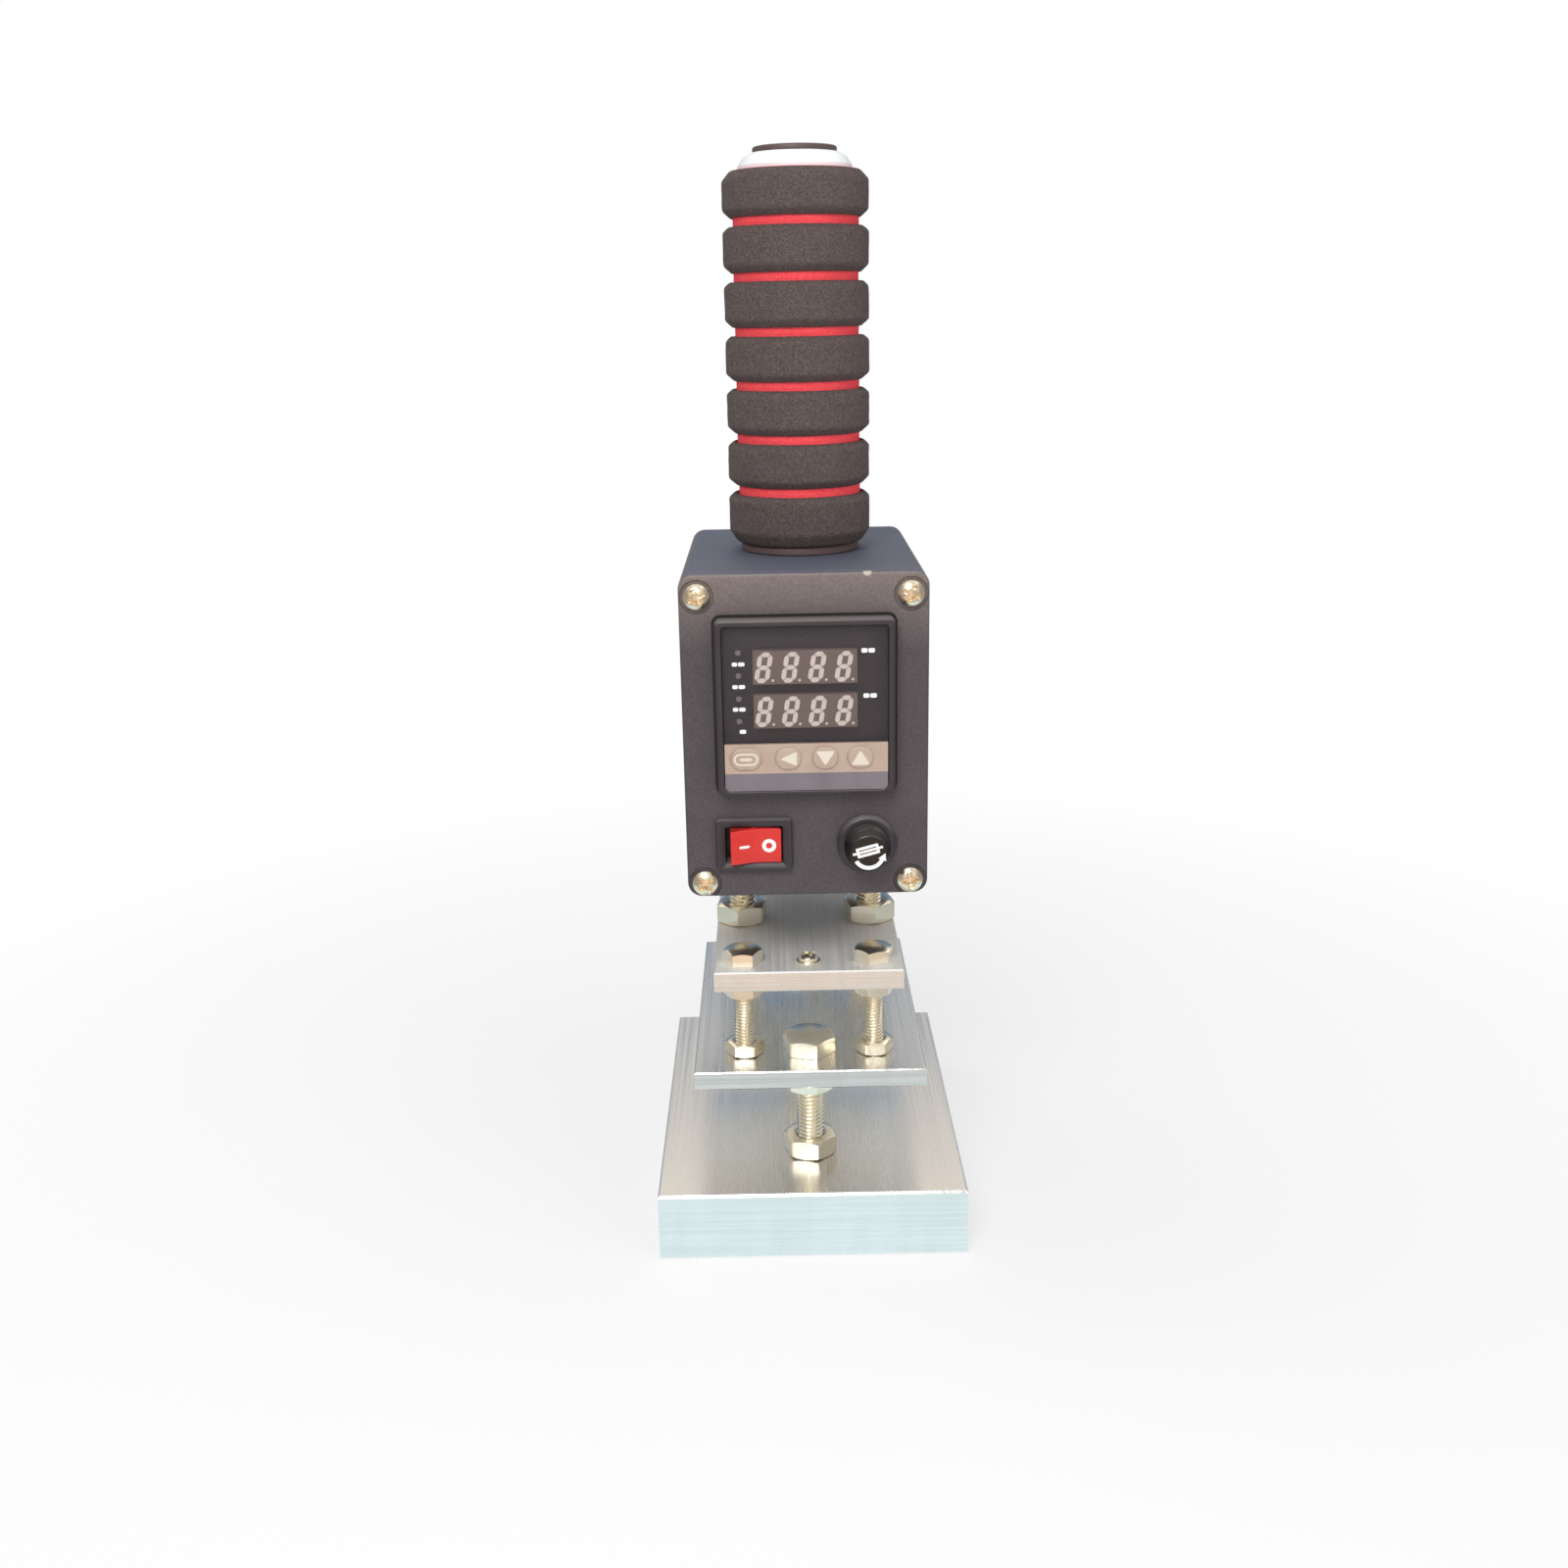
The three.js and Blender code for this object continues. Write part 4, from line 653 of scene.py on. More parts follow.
def hexagon(flats, bottom, top, bore=0, below=True, above=True):
    """Six flats: the side lies flats / 2 / cos(angle from the flat's middle) from the axis. A
    30 degree cone from a circle just inside the flats lowers the rim the more, the further
    out the side is, which leaves an arc on every flat. A bore's two rims are sunk as well."""
    angle = full_turn(120)
    side = flats / 2 / np.cos(angle % (np.pi / 3) - np.pi / 6)
    side = np.minimum(side, flats / 2 * 1.145)
    circle = flats / 2 * 0.96 + 0 * angle
    drop = (side - circle) * np.tan(np.radians(30))
    sink = min(0.6, bore * 0.2)
    rim = [
        (bore, top - sink),
        (bore + sink, top),
        (circle if above else side, top),
        (side, top - drop * above),
        (side, bottom + drop * below),
        (circle if below else side, bottom),
        (bore + sink, bottom),
        (bore, bottom + sink),
    ]
    if bore:
        rim.append(rim[0])
    rows = [np.column_stack([r * np.sin(angle), -r * np.cos(angle), h + 0 * angle]) for r, h in rim]
    return np.stack(rows)


print("an M8 thread has", threaded(M8, 0, 20).shape[0], "rows")

# %% Bolts
BOLTS = {  # its size, what its clamp nut lies under, and the degrees that bolt and jam nut turn
    "block_bolt_front": (M8, "lower_plate", 15, 15),
    "block_bolt_rear": (M8, "lower_plate", 15, 15),
    "column_bolt_front_left": (M6, "upper_plate", 30, 30),
    "column_bolt_front_right": (M6, "upper_plate", -15, 33),
    "column_bolt_rear_left": (M6, "upper_plate", 12, -8),
    "column_bolt_rear_right": (M6, "upper_plate", 40, 20),
    "carrier_bolt_left": (M8, "enclosure_body", -9, -9),
    "carrier_bolt_right": (M8, "enclosure_body", 14, 14),
}
SEAT = 0.1  # the gap between pieces that lie on each other
for bolt, (size, plate, turn_bolt, turn_jam) in BOLTS.items():
    low, high = box_of(bolt)
    centre = middle_of(bolt) * [1, 1, 0]
    head = high[2] - size["head"]
    nut_top = box_of(plate)[0][2] - SEAT
    shells = [
        threaded(size, low[2], head + 1),
        hexagon(size["flats"], head, high[2], below=False),
        hexagon(size["flats"], nut_top - size["nut"], nut_top, size["across"] / 2 - 0.5),
    ]
    shells = [spun(shell, turn_bolt) for shell in shells]
    make_piece("threaded_" + bolt, shells, zinc, "steel", [bolt], spot=centre)
    jam = bolt.replace("bolt", "jam_nut")
    low, high = box_of(jam)
    nut = hexagon(size["flats"], low[2], high[2], size["across"] / 2 + 0.1)
    make_piece("chamfered_" + jam, [spun(nut, turn_jam)], zinc, "steel", [jam], spot=centre)
print(len(BOLTS), "bolts, each with a clamp nut and a jam nut")

# %% [markdown]
# ## Cross-head screws
# A pan head is a low dome, and the cross in it is pressed with a pointed punch, so its four
# wings get shallower outwards and its walls slope. The cross is worked out as a depth: how far
# each point of the dome lies inside the cross's outline, times the slope of the walls.

# %% Cross-head screws


def pan_head(radius, height, seat, degrees):
    """A dome of height 1 - (r / R)^2.6 over a short straight side, less the cross's depth: the
    distance inside the two crossing bars over 0.3 mm, at most 1, times 62% of the height."""
    r = np.r_[radius, radius, np.linspace(radius, 0, 30)[1:]]
    h = height * (0.42 + 0.58 * (1 - (np.clip(r, 0, radius) / radius) ** 2.6))
    h[0] = 0
    head = turned(np.column_stack([r, h]), 96)
    x, y = np.abs(head[..., 0]), np.abs(head[..., 1])
    wing, span = radius * 0.2, radius * 0.68
    inside = np.minimum(span - np.maximum(x, y), wing - np.minimum(x, y))
    head[..., 2] -= np.clip(inside / 0.3, 0, 1) * height * 0.62 * (h[:, None] > 0)
    base = np.concatenate([0 * head[:1], head])
    return spun(base, degrees) + [0, 0, seat]


SCREWS = {"top_left": 25, "top_right": -20, "bottom_left": 40, "bottom_right": 10}
HEAD_R, HEAD_H, STEM_R = 3.5, 2.4, 1.5
for corner, degrees in SCREWS.items():
    node = "panel_screw_" + corner
    low, high = box_of(node)
    seat = -low[1] - HEAD_H
    shells = [pan_head(HEAD_R, HEAD_H, seat, degrees), disc(STEM_R, -high[1], seat + 0.5, 0, 24)]
    spot = middle_of(node) * [1, 0, 1]
    make_piece("pan_screw_" + corner, shells, nickel, "steel", [node], way="front", spot=spot)

low, high = box_of("earth_screw")
seat = box_of("upper_plate")[1][2] + SEAT
WASHER_T = 0.8
shells = [
    disc(3.5, seat, seat + WASHER_T, 0.25, 64),
    turned([[0, low[2]], [1.7, low[2]], [2, low[2] + 0.4], [2, seat + 1], [0, seat + 1]], 32),
    pan_head(2.8, high[2] - seat - WASHER_T, seat + WASHER_T, 30),
]
spot = middle_of("earth_screw") * [1, 1, 0]
make_piece("earth_pan_screw", shells, zinc, "steel", ["earth_screw"], spot=spot)
print(len(SCREWS), "panel screws and the earth screw")

# %% [markdown]
# ## The cast box and its lid
# The box is one casting, open at the front: a wall that follows a rectangle with round corners,
# closed by the back. It is drawn as one skin that starts in the middle of the inside, runs
# forward along the inner wall, over the rim, and back outside to the middle of the back. The
# lid is a plate with round edges. Its openings and the round sinks for the screws are real
# cuts, so that the parts in them sit in the lid and not on it.

# %% Cast box
low, high = box_of("enclosure_body")
WIDTH, HEIGHT = high[0] - low[0], high[2] - low[2]
ON_BOX = {"way": "front", "spot": middle_of("enclosure_body") * [0, 0, 1]}
WALL, CORNER, MIDDLE = 3, 4, 30  # MIDDLE is an inset at which both ends of the skin close
front, rear = -low[1], -high[1]
skin = [[MIDDLE, rear + WALL], [WALL, rear + WALL], [WALL, front], [0, front], [0, rear], [MIDDLE, rear]]
skin = rounded(skin, [0, 1.5, 0.3, 0.5, 1.6, 0], 5, False)
sizes = [(WIDTH - 2 * i, HEIGHT - 2 * i, max(CORNER - i, 1)) for i, _ in skin]
loops = [rectangle(*size, 8) * (inset < MIDDLE) for size, inset in zip(sizes, skin[:, 0])]
shells = [stacked(loops, skin[:, 1])]
make_piece("cast_box", shells, powder, "coated_casting", ["enclosure_body"], **ON_BOX)
print("cast box", WIDTH.round(1), "x", HEIGHT.round(1), "mm, walls", WALL, "mm")

# %% Lid with its openings
low, high = box_of("front_panel")
BACK, FACE = -high[1], -low[1]  # the lid's two sides, as heights out of the panel
shells = [slab(WIDTH, HEIGHT, CORNER, BACK, FACE, 0.8, 8)]
lid = make_piece("lid", shells, powder, "coated_casting", ["front_panel"], **ON_BOX)
METER = middle_of("meter_case") * [0, 0, 1]
SWITCH = middle_of("switch_body") * [1, 0, 1]
FUSE = middle_of("fuse_holder_body") * [1, 0, 1]
ON_METER, ON_SWITCH, ON_FUSE = ({"way": "front", "spot": spot} for spot in (METER, SWITCH, FUSE))
METER_HOLE, SWITCH_HOLE, FUSE_HOLE_R = 45, (19.2, 13.2), 6.2
SINK_R, SINK_FLOOR, STEM_HOLE_R = 4.5, FACE - 0.8, 1.7
back, out = BACK - 1, FACE + 1
cutters = [
    facing(slab(METER_HOLE, METER_HOLE, 0.6, back, out, 0.1), "front", METER),
    facing(slab(*SWITCH_HOLE, 0.4, back, out, 0.1), "front", SWITCH),
    facing(disc(FUSE_HOLE_R, back, out, 0, 48), "front", FUSE),
]
sink = [[0, SINK_FLOOR], [SINK_R, SINK_FLOOR], [SINK_R + 0.3, out], [0, out]]
sink = turned(rounded(sink, [0, 0.25, 0, 0], 3, False), 48)
for corner in SCREWS:
    spot = middle_of("panel_screw_" + corner) * [1, 0, 1]
    hole = disc(STEM_HOLE_R, back, SINK_FLOOR + 0.3, 0, 24)
    cutters += [facing(sink, "front", spot), facing(hole, "front", spot)]


def carve(piece, shapes):
    """Takes closed shapes away from a piece, one after the other, and keeps the result."""
    tools = []
    for i, points in enumerate(shapes):
        tool = make_piece(f"tool_{i}", [points], piece.data.materials[0], "coated_casting")
        cut = piece.modifiers.new(f"cut_{i}", "BOOLEAN")
        cut.operation = "DIFFERENCE"
        cut.solver = "EXACT"
        cut.object = tool
        tools.append(tool)
    result = bpy.data.meshes.new_from_object(piece.evaluated_get(bpy.context.evaluated_depsgraph_get()))
    piece.modifiers.clear()
    piece.data = result
    for tool in tools:
        bpy.data.objects.remove(tool)
    smooth(piece, 34)


carve(lid, cutters)
print("lid with", len(cutters), "cuts,", len(lid.data.polygons), "faces")

# %% [markdown]
# ## The meter
# A panel meter is a deep black box behind a 48 mm square bezel. In the bezel lie a smoked
# window, with two rows of digits behind it, and a strip with four keys. The bezel is a frame:
# the outline of its outer edge is blended into that of its inner edge along a rounded profile.
# The housing behind it is plain, so that no grain shows through the window. Behind the bezel
# lies a thin black rubber sheet, a little larger than it, which shows round it as a black line.

# %% Meter bezel and housing
low, high = box_of("meter_case")
LIP = -low[1]
SIDE, HOUSING, FRAME, BELOW, WELL = 48, 44.6, 1.9, 1.1, 4.0
# The thin black sheet behind the bezel: its thickness and its side.
BLACK_SHEET_T, BLACK_SHEET_SIDE = 0.8, 49.3
METER_TOP = METER[2] + SIDE / 2
outer = rectangle(SIDE, SIDE, 1.8)
x, top, bottom = SIDE / 2 - FRAME, SIDE / 2 - FRAME, BELOW - SIDE / 2
inner = rounded([[x, top], [-x, top], [-x, bottom], [x, bottom]], [0.9, 0.9, 2.4, 2.4])
back = FACE + BLACK_SHEET_T
profile = rounded([[0, back], [0, LIP], [FRAME, LIP], [FRAME, back]], [0.2, 0.9, 0.35, 0.2])
profile = np.vstack([profile, profile[:1]])
bezel = stacked([outer * (1 - t) + inner * t for t in profile[:, 0] / FRAME], profile[:, 1])
make_piece("meter_bezel", [bezel], plastics["satin"], "black_plastic", ["meter_case"], **ON_METER)
housing = slab(HOUSING, HOUSING, 0.5, -high[1], LIP - WELL, 0.3)
make_piece("meter_housing", [housing], plain["inside"], "black_plastic", ["meter_case"], **ON_METER)
sheet_out = rectangle(BLACK_SHEET_SIDE, BLACK_SHEET_SIDE, 2.4)
sheet_in = rectangle(METER_HOLE, METER_HOLE, 0.6)
levels = np.array([0, BLACK_SHEET_T - 0.02, BLACK_SHEET_T - 0.02, 0, 0]) + FACE + 0.02
black_sheet = stacked([sheet_out, sheet_out, sheet_in, sheet_in, sheet_out], levels)
make_piece("meter_black_sheet", [black_sheet], plain["rubber"], "black_plastic", **ON_METER)
print("bezel of", len(profile), "rows on its gasket")

# %% [markdown]
# Behind the window the two displays are blocks of grey epoxy, and unlit segments show as pale
# bars, slanted by ten degrees.

# %% Displays and digits


def flat_mark(outline, low, high, centre, way="front"):
    """A thin closed plate over a convex outline: its rim at both levels, closed to its middle."""
    outline = np.asarray(outline, float)
    middle = outline * 0 + outline.mean(0)
    return facing(stacked([middle, outline, outline, middle], [low, low, high, high]), way, centre)


def bar_outline(start, end, width):
    """A segment with pointed ends: the two ends, and shoulders half a width in from them."""
    start, end = np.array(start, float), np.array(end, float)
    along = (end - start) / np.linalg.norm(end - start) * width / 2
    side = np.array([-along[1], along[0]])
    return [start, start + along + side, end - along + side, end, end - along - side, start + along - side]


DISPLAYS = [METER_TOP - drop for drop in (13.1, 25.1)]
DISPLAY_W, DISPLAY_H, DISPLAY_FACE = 27.8, 9.2, LIP - 1.6
block = slab(DISPLAY_W, DISPLAY_H, 0.3, LIP - WELL, DISPLAY_FACE, 0.15)
shells = [facing(block, "front", [0, 0, z]) for z in DISPLAYS]
make_piece("display_blocks", shells, plain["epoxy"], "black_plastic")
LEFT, RIGHT, TOP, GAP, BAR = -1.38, 1.38, 3.5, 0.1, 1.25
SEGMENTS = [((LEFT, z), (RIGHT, z)) for z in (TOP, 0, -TOP)]
SEGMENTS += [((x, z), (x, z + TOP)) for z in (0, -TOP) for x in (LEFT, RIGHT)]
DIGITS = (-11.0, -3.9, 3.2, 10.3)
POINT_X = 2.4  # from the middle of a digit to its decimal point
RAISED = (DISPLAY_FACE + 0.02, DISPLAY_FACE + 0.1)
slant = np.array([[1, 0], [np.tan(np.radians(10)), 1]])
dot = rectangle(0.7, 0.7, 0.34, 3)
shells = []
for z in DISPLAYS:
    for x in DIGITS:
        for start, end in SEGMENTS:
            step = np.subtract(end, start)
            step = step / np.linalg.norm(step) * GAP
            outline = np.array(bar_outline(start + step, end - step, BAR)) @ slant
            shells.append(flat_mark(outline, *RAISED, [x, 0, z]))
        shells.append(flat_mark(dot, *RAISED, [x + POINT_X, 0, z - TOP]))
make_piece("digit_segments", shells, plain["resin"], "white_plastic")
print(len(shells), "segments and points at", np.round(DISPLAYS, 1))

# %% [markdown]
# The printed legends beside the digits are drawn as short plain dashes, and between them sit
# four small indicator lamps, unlit.

# %% Legends and indicator lamps
LEGEND_X = -17.7
LAMP_ROWS = (0.18, 0.31, 0.44, 0.568)  # as shares of the meter's side, from its top
LEGEND_ROWS = (0.245, 0.372, 0.5, 0.627)
UNITS = ((16.6, 15.4), (17.1, 3.2))  # places right of the displays, from the meter's middle
PRINT = LIP - 0.12  # the height at which the print on the meter's face starts
dashes = []  # the middle across and up, the width and the height of each
for row in LEGEND_ROWS:
    for x, width in ((-0.95, 1.4), (0.85, 1.7)):
        if row < LEGEND_ROWS[-1] or x > 0:
            dashes.append((LEGEND_X + x, METER_TOP - SIDE * row, width, 1.05))
for x, up in UNITS:
    dashes += [(x + shift, METER[2] + up, width, 1.2) for shift, width in ((-0.95, 1.6), (0.95, 1.7))]
shells = [flat_mark(rectangle(w, h, 0.3, 2), PRINT, PRINT + 0.05, [x, 0, z]) for x, z, w, h in dashes]
make_piece("meter_legends", shells, plain["ink"], "white_plastic")
lens_outline = rectangle(1.5, 1.5, 0.74, 4)
spots = [[LEGEND_X, 0, METER_TOP - SIDE * row] for row in LAMP_ROWS]
shells = [flat_mark(lens_outline, PRINT, PRINT + 0.04, spot) for spot in spots]
make_piece("indicator_lamps", shells, plain["diode"], "black_plastic")
print("legends and", len(LAMP_ROWS), "lamps")

# %% [markdown]
# The key strip is a printed polyester film over the case, tan above and violet grey below. The
# colour changes at one height, so the material compares the Z coordinate with it. Under the film
# four keys stand up as low buttons, tan too, each with a cream sign.

# %% Key strip and keys
STRIP_EDGE = 141.7
film, tree, shader, place = new_material("printed polyester film", Roughness=0.42)
height = add_node(tree, "SeparateXYZ", {0: place}).outputs["Z"]
upper = add_node(tree, "Math", {"operation": "GREATER_THAN", 0: height, 1: STRIP_EDGE * MM})
tone = add_node(tree, "Mix", RGBA | {0: upper, 6: linear("#7b7279"), 7: linear("#baa392")})
cloud = add_node(tree, "TexNoise", {"Scale": every(6), "Detail": 3.0, "Vector": place})
shade = add_node(tree, "Mix", RGBA | {"blend_type": "SOFT_LIGHT", 0: 0.25, 6: tone, 7: cloud})
weave = add_node(tree, "TexNoise", {"Scale": every(0.4), "Detail": 1.0, "Vector": place})
bump = add_node(tree, "Bump", {"Strength": 0.15, "Distance": 0.00005, "Height": weave})
set_up(shader, {"Base Color": shade, "Normal": bump})
finish(["meter_fascia"], film)

tall = np.array([[-2.6, 2.0], [0, -2.1], [2.6, 2.0]])
oval = rectangle(6.6, 3.4, 1.69)
hollow = rectangle(5.6, 2.4, 1.19)
FOOT_RIM, FOOT_T, KEY_RISE = 0.9, 0.9, 2.2  # how much wider the foot is, its thickness, the key's
KEYS = {"function": None, "shift": tall[:, ::-1] * [1.12, 0.78], "down": tall, "up": -tall}
for key, sign in KEYS.items():
    node = "meter_key_" + key
    low, high = box_of(node)
    width, tall_side = high[0] - low[0], high[2] - low[2]
    on_key = {"body": "key_" + key, "way": "front", "spot": middle_of(node) * [1, 0, 1]}
    seat, face = -high[1], -low[1]
    top_w, top_h = width - FOOT_RIM, tall_side - FOOT_RIM
    button = slab(top_w, top_h, top_h / 2 - 0.15, face - KEY_RISE, face, 0.7, 8)
    foot = slab(width, tall_side, 0.3, seat, seat + FOOT_T, 0.1)
    make_piece("key_" + key, [button, foot], film, "tan_membrane", [node], **on_key)
    under, over = face - 0.05, face + 0.04
    if sign is None:
        outline = stacked([oval, oval, hollow, hollow, oval], [under, over, over, under, under])
        mark = [outline, flat_mark(rectangle(3.2, 0.8, 0.3, 2), under, over, [0, 0, 0], "up")]
    else:
        mark = [flat_mark(rounded(sign, 0.3, 3), under, over, [0, 0, 0], "up")]
    make_piece("sign_" + key, mark, plain["cream"], "white_plastic", **on_key)
print("keys", ", ".join(KEYS))

# %% [markdown]
# ## The rocker switch
# The switch is a small black box whose rim lies on the lid. The rocker in it is a see-saw with
# two hollowed faces: its side view is drawn as a curve, carried along the pin, and pulled in a
# little at both ends. It rests with the side that carries the ring pressed in.

# %% Rocker switch
LEVELS = [  # width, height, corner and level on the lid, from the well's floor over the rim and back
    (0, 0, 0, -4.25),
    (15.5, 10.2, 0.3, -4.25),
    (15.5, 10.2, 0.3, 0.9),
    (15.9, 10.6, 0.4, 1.35),
    (18.6, 12.7, 0.7, 1.9),
    (19.8, 13.8, 0.9, 2),
    (20.5, 14.5, 1.0, 1.9),
    (20.9, 14.9, 1.1, 1.5),
    (21, 15, 1.1, 1.0),
    (21, 15, 1.1, SEAT),
    (18.8, 12.8, 0.5, SEAT),
    (18.8, 12.8, 0.5, -14),
    (0, 0, 0, -14),
]
loops = [rectangle(w, h, r) * (w > 0) for w, h, r, _ in LEVELS]
body = stacked(loops, [FACE + level for *_, level in LEVELS])
TAB, TAB_X = (0.8, 4.8), 5.264
tab = slab(*TAB, 0.2, -box_of("switch_body")[1][1], FACE - 13, 0.1)
shells = [body, tab - [TAB_X, 0, 0], tab + [TAB_X, 0, 0]]
make_piece("switch_housing", shells, plastics["satin"], "black_plastic", ["switch_body"], **ON_SWITCH)

HALF, CREST, RISE, TILT, ROCKER_H = 7, 2.1, 1.234, 10, 9.8
HOLLOW, EDGE = 1.4, CREST + RISE - 0.25  # how the hollow steepens, and where its ends stop


def on_rocker(points):
    """(across, out, along the pin) laid on the panel, tilted about the pin and put in place."""
    laid = points @ np.array([[1, 0, 0], [0, -1, 0], [0, 0, 1]]) - [0, 0, ROCKER_H / 2]
    return spun(laid, TILT) + SWITCH - [0, FACE, 0]


def hollow_face(across):
    """How far out the hollow face is: CREST in the middle, and RISE more at both ends."""
    return CREST + RISE * (np.abs(across) / HALF) ** HOLLOW


def rocker_mark(rows, lift):
    """Loops of (across, along the pin) laid on the hollow face, each lifted by its own height."""
    made = []
    for loop, up in zip(rows, lift):
        out = hollow_face(loop[:, 0]) + up
        made.append(np.column_stack([loop[:, 0], out, loop[:, 1] + ROCKER_H / 2]))
    return on_rocker(np.stack(made))


across = np.linspace(-HALF + 0.15, HALF - 0.15, 29)
under = [(HALF, EDGE), (HALF - 0.4, -0.5), (3.85, -2.52), (-3.85, -2.52), (-HALF + 0.4, -0.5), (-HALF, EDGE)]
side_view = np.array([*zip(across, hollow_face(across)), *under])
tangent = np.roll(side_view, -1, 0) - np.roll(side_view, 1, 0)
outward = np.column_stack([-tangent[:, 1], tangent[:, 0]]) / np.linalg.norm(tangent, axis=1)[:, None]
ends = np.array([[0.45, 0], [0.13, 0.13], [0, 0.45]])
ends = np.vstack([ends, [0, ROCKER_H] + ends[::-1] * [1, -1]])
loops = [side_view - outward * inset for inset, _ in ends]
middle = side_view * 0 + [0, -0.5]
paddle = stacked([middle, *loops, middle], [0, *ends[:, 1], ROCKER_H])
pin = disc(1, -6.1, 6.1, 0, 24) + SWITCH - [0, FACE, 0]
shells = [on_rocker(paddle), pin]
make_piece("rocker_paddle", shells, plastics["red"], "red_plastic", ["switch_rocker"], "rocker")

circle, bar = rectangle(3.8, 3.8, 1.89, 8), rectangle(2.9, 0.75, 0.25, 3)
rows = np.stack([circle, circle, circle * 0.45, circle * 0.45, circle]) + [3.7, 0]
marks = [rocker_mark(rows, [-0.05, 0.04, 0.04, -0.05, -0.05])]
rows = np.stack([bar * 0, bar, bar, bar * 0]) + [-3.1, 0]
marks.append(rocker_mark(rows, [-0.05, -0.05, 0.05, 0.05]))
make_piece("rocker_marks", marks, plain["ink"], "white_plastic", body="rocker")
print("rocker", 2 * HALF, "x", ROCKER_H, "mm, tilted by", TILT, "degrees")

# %% [markdown]
# ## The fuse holder
# The holder is a threaded barrel with a stepped ring in front. Its bayonet cap has fine ribs to
# turn it by, and on its face a plain sign for a fuse and an arrow for the way it turns. The
# fuse itself, which comes out with the cap, is a glass tube with two metal ends and a wire.

# %% Fuse holder and cap
TIP, SHELF, SOCKET = FACE - 33.5, FACE + 2, FACE - 20.7
profile = [[0, TIP], [6, TIP], [6, FACE + SEAT], [8.25, FACE + SEAT], [8.25, FACE + 1.2]]
profile += [[7.3, SHELF], [4.4, SHELF], [4.4, SOCKET], [0, SOCKET]]
profile = rounded(profile, [0, 0.4, 0.1, 0.2, 0.5, 0.3, 0.25, 0, 0], 4, False)
shells = [turned(profile, 72), slab(*TAB[::-1], 0.2, TIP - 6, TIP + 1, 0.1)]
make_piece("fuse_barrel", shells, plastics["satin"], "black_plastic", ["fuse_holder_body"], **ON_FUSE)

RIBS, RIB_DEPTH = 36, 0.12
base, face = SHELF + SEAT, -box_of("fuse_cap")[0][1]
profile = [[2.7, base - 10], [4.1, base - 10], [4.1, base], [6.3, base], [6.3, base + 2.2]]
profile += [[5.6, base + 3.2], [5.3, face], [0, face - 0.25], [0, FACE - 0.4]]
profile += [[2.7, FACE - 0.4], [2.7, base - 10]]
profile = rounded(profile, [0, 0.2, 0.1, 0.35, 0.5, 0.4, 0.7, 0, 0, 0, 0], 5, False)
r, h = profile[:, :1], profile[:, 1:]
ribbed = (r > 5.2) & (h > base + 3.3) & (h < face - 0.5)
ribs = -RIB_DEPTH * (1 + np.cos(RIBS * full_turn(144))) / 2 * ribbed
cap = turned(profile, 144, ribs)
make_piece("bayonet_cap", [cap], plastics["gloss"], "black_plastic", ["fuse_cap"], "cap", **ON_FUSE)

ARC_R, STROKE, SIGN_TURN = 3.9, 0.55, 15
under, over = face - 0.3, face + 0.02
sweep = np.radians(np.linspace(-165, -40, 25))
arc = np.column_stack([np.cos(sweep), np.sin(sweep)])
section = [(ARC_R - STROKE, under), (ARC_R + STROKE, under), (ARC_R + STROKE, over), (ARC_R - STROKE, over)]
arc = np.stack([np.column_stack([r * arc, 0 * sweep + level]) for r, level in section], 1)
first, last = arc[:1].mean(1, keepdims=True), arc[-1:].mean(1, keepdims=True)
arc = np.concatenate([first + 0 * arc[:1], arc, last + 0 * arc[-1:]])
frame_out, frame_in = rectangle(6.2, 2.8, 0.2, 2), rectangle(4.7, 1.3, 0.1, 2)
loops = [frame_out, frame_out, frame_in, frame_in, frame_out]
symbol = stacked(loops, [under, over, over, under, under]) + [0, 1.0, 0]
arrow = flat_mark([[4.4, -0.95], [2.15, -1.85], [3.95, -3.25]], under, over, [0, 0, 0], "up")
wire = flat_mark(rectangle(8.4, 0.65, 0.1, 2) + [0, 1.0], under, over + 0.005, [0, 0, 0], "up")
shells = [spun(shell, SIGN_TURN) for shell in (arc, symbol, arrow, wire)]
make_piece("cap_signs", shells, plain["ink"], "white_plastic", body="cap", **ON_FUSE)
print("cap of", len(profile), "rows with", RIBS, "ribs")

# %% Glass fuse
low, high = box_of("glass_fuse")
near, away = -low[1], -high[1]
TUBE_R, END_R, END, WIRE_R = 2.35, 2.6, 5, 0.12  # END is the length of a metal end
tube = disc(TUBE_R, away + 1, near - 1, 0.3, 40)
make_piece("fuse_glass", [tube], plain["glass"], "glass", ["glass_fuse"], "fuse", **ON_FUSE)
shells = [disc(END_R, end, end + END, 0.35, 40) for end in (away, near - END)]
shells.append(disc(WIRE_R, away + END - 1, near - END + 1, 0, 12))
make_piece("fuse_ends", shells, nickel, "plated_steel", body="fuse", **ON_FUSE)
print("fuse", round(near - away, 1), "mm long")

# %% [markdown]
# ## The grip
# Seven black foam rings are glued over a red foam sleeve, with narrow grooves where the red
# shows. Each ring is a closed profile with slanted corners turned round the axis. Ground foam is
# never quite true, so a sum of slow waves in random directions moves the surface in and out by
# a tenth of a millimetre. The foam solids can't show, so every ring replaces its own.

# %% Foam grip
random = np.random.default_rng(7)
CORNERS = {"lower": (2.3, 1.9), "upper": (1.6, 1.3), "top": (2.3, 2.4), "bottom": (2.3, 3.2)}
RED_CORNER = (0.4, 0.4)


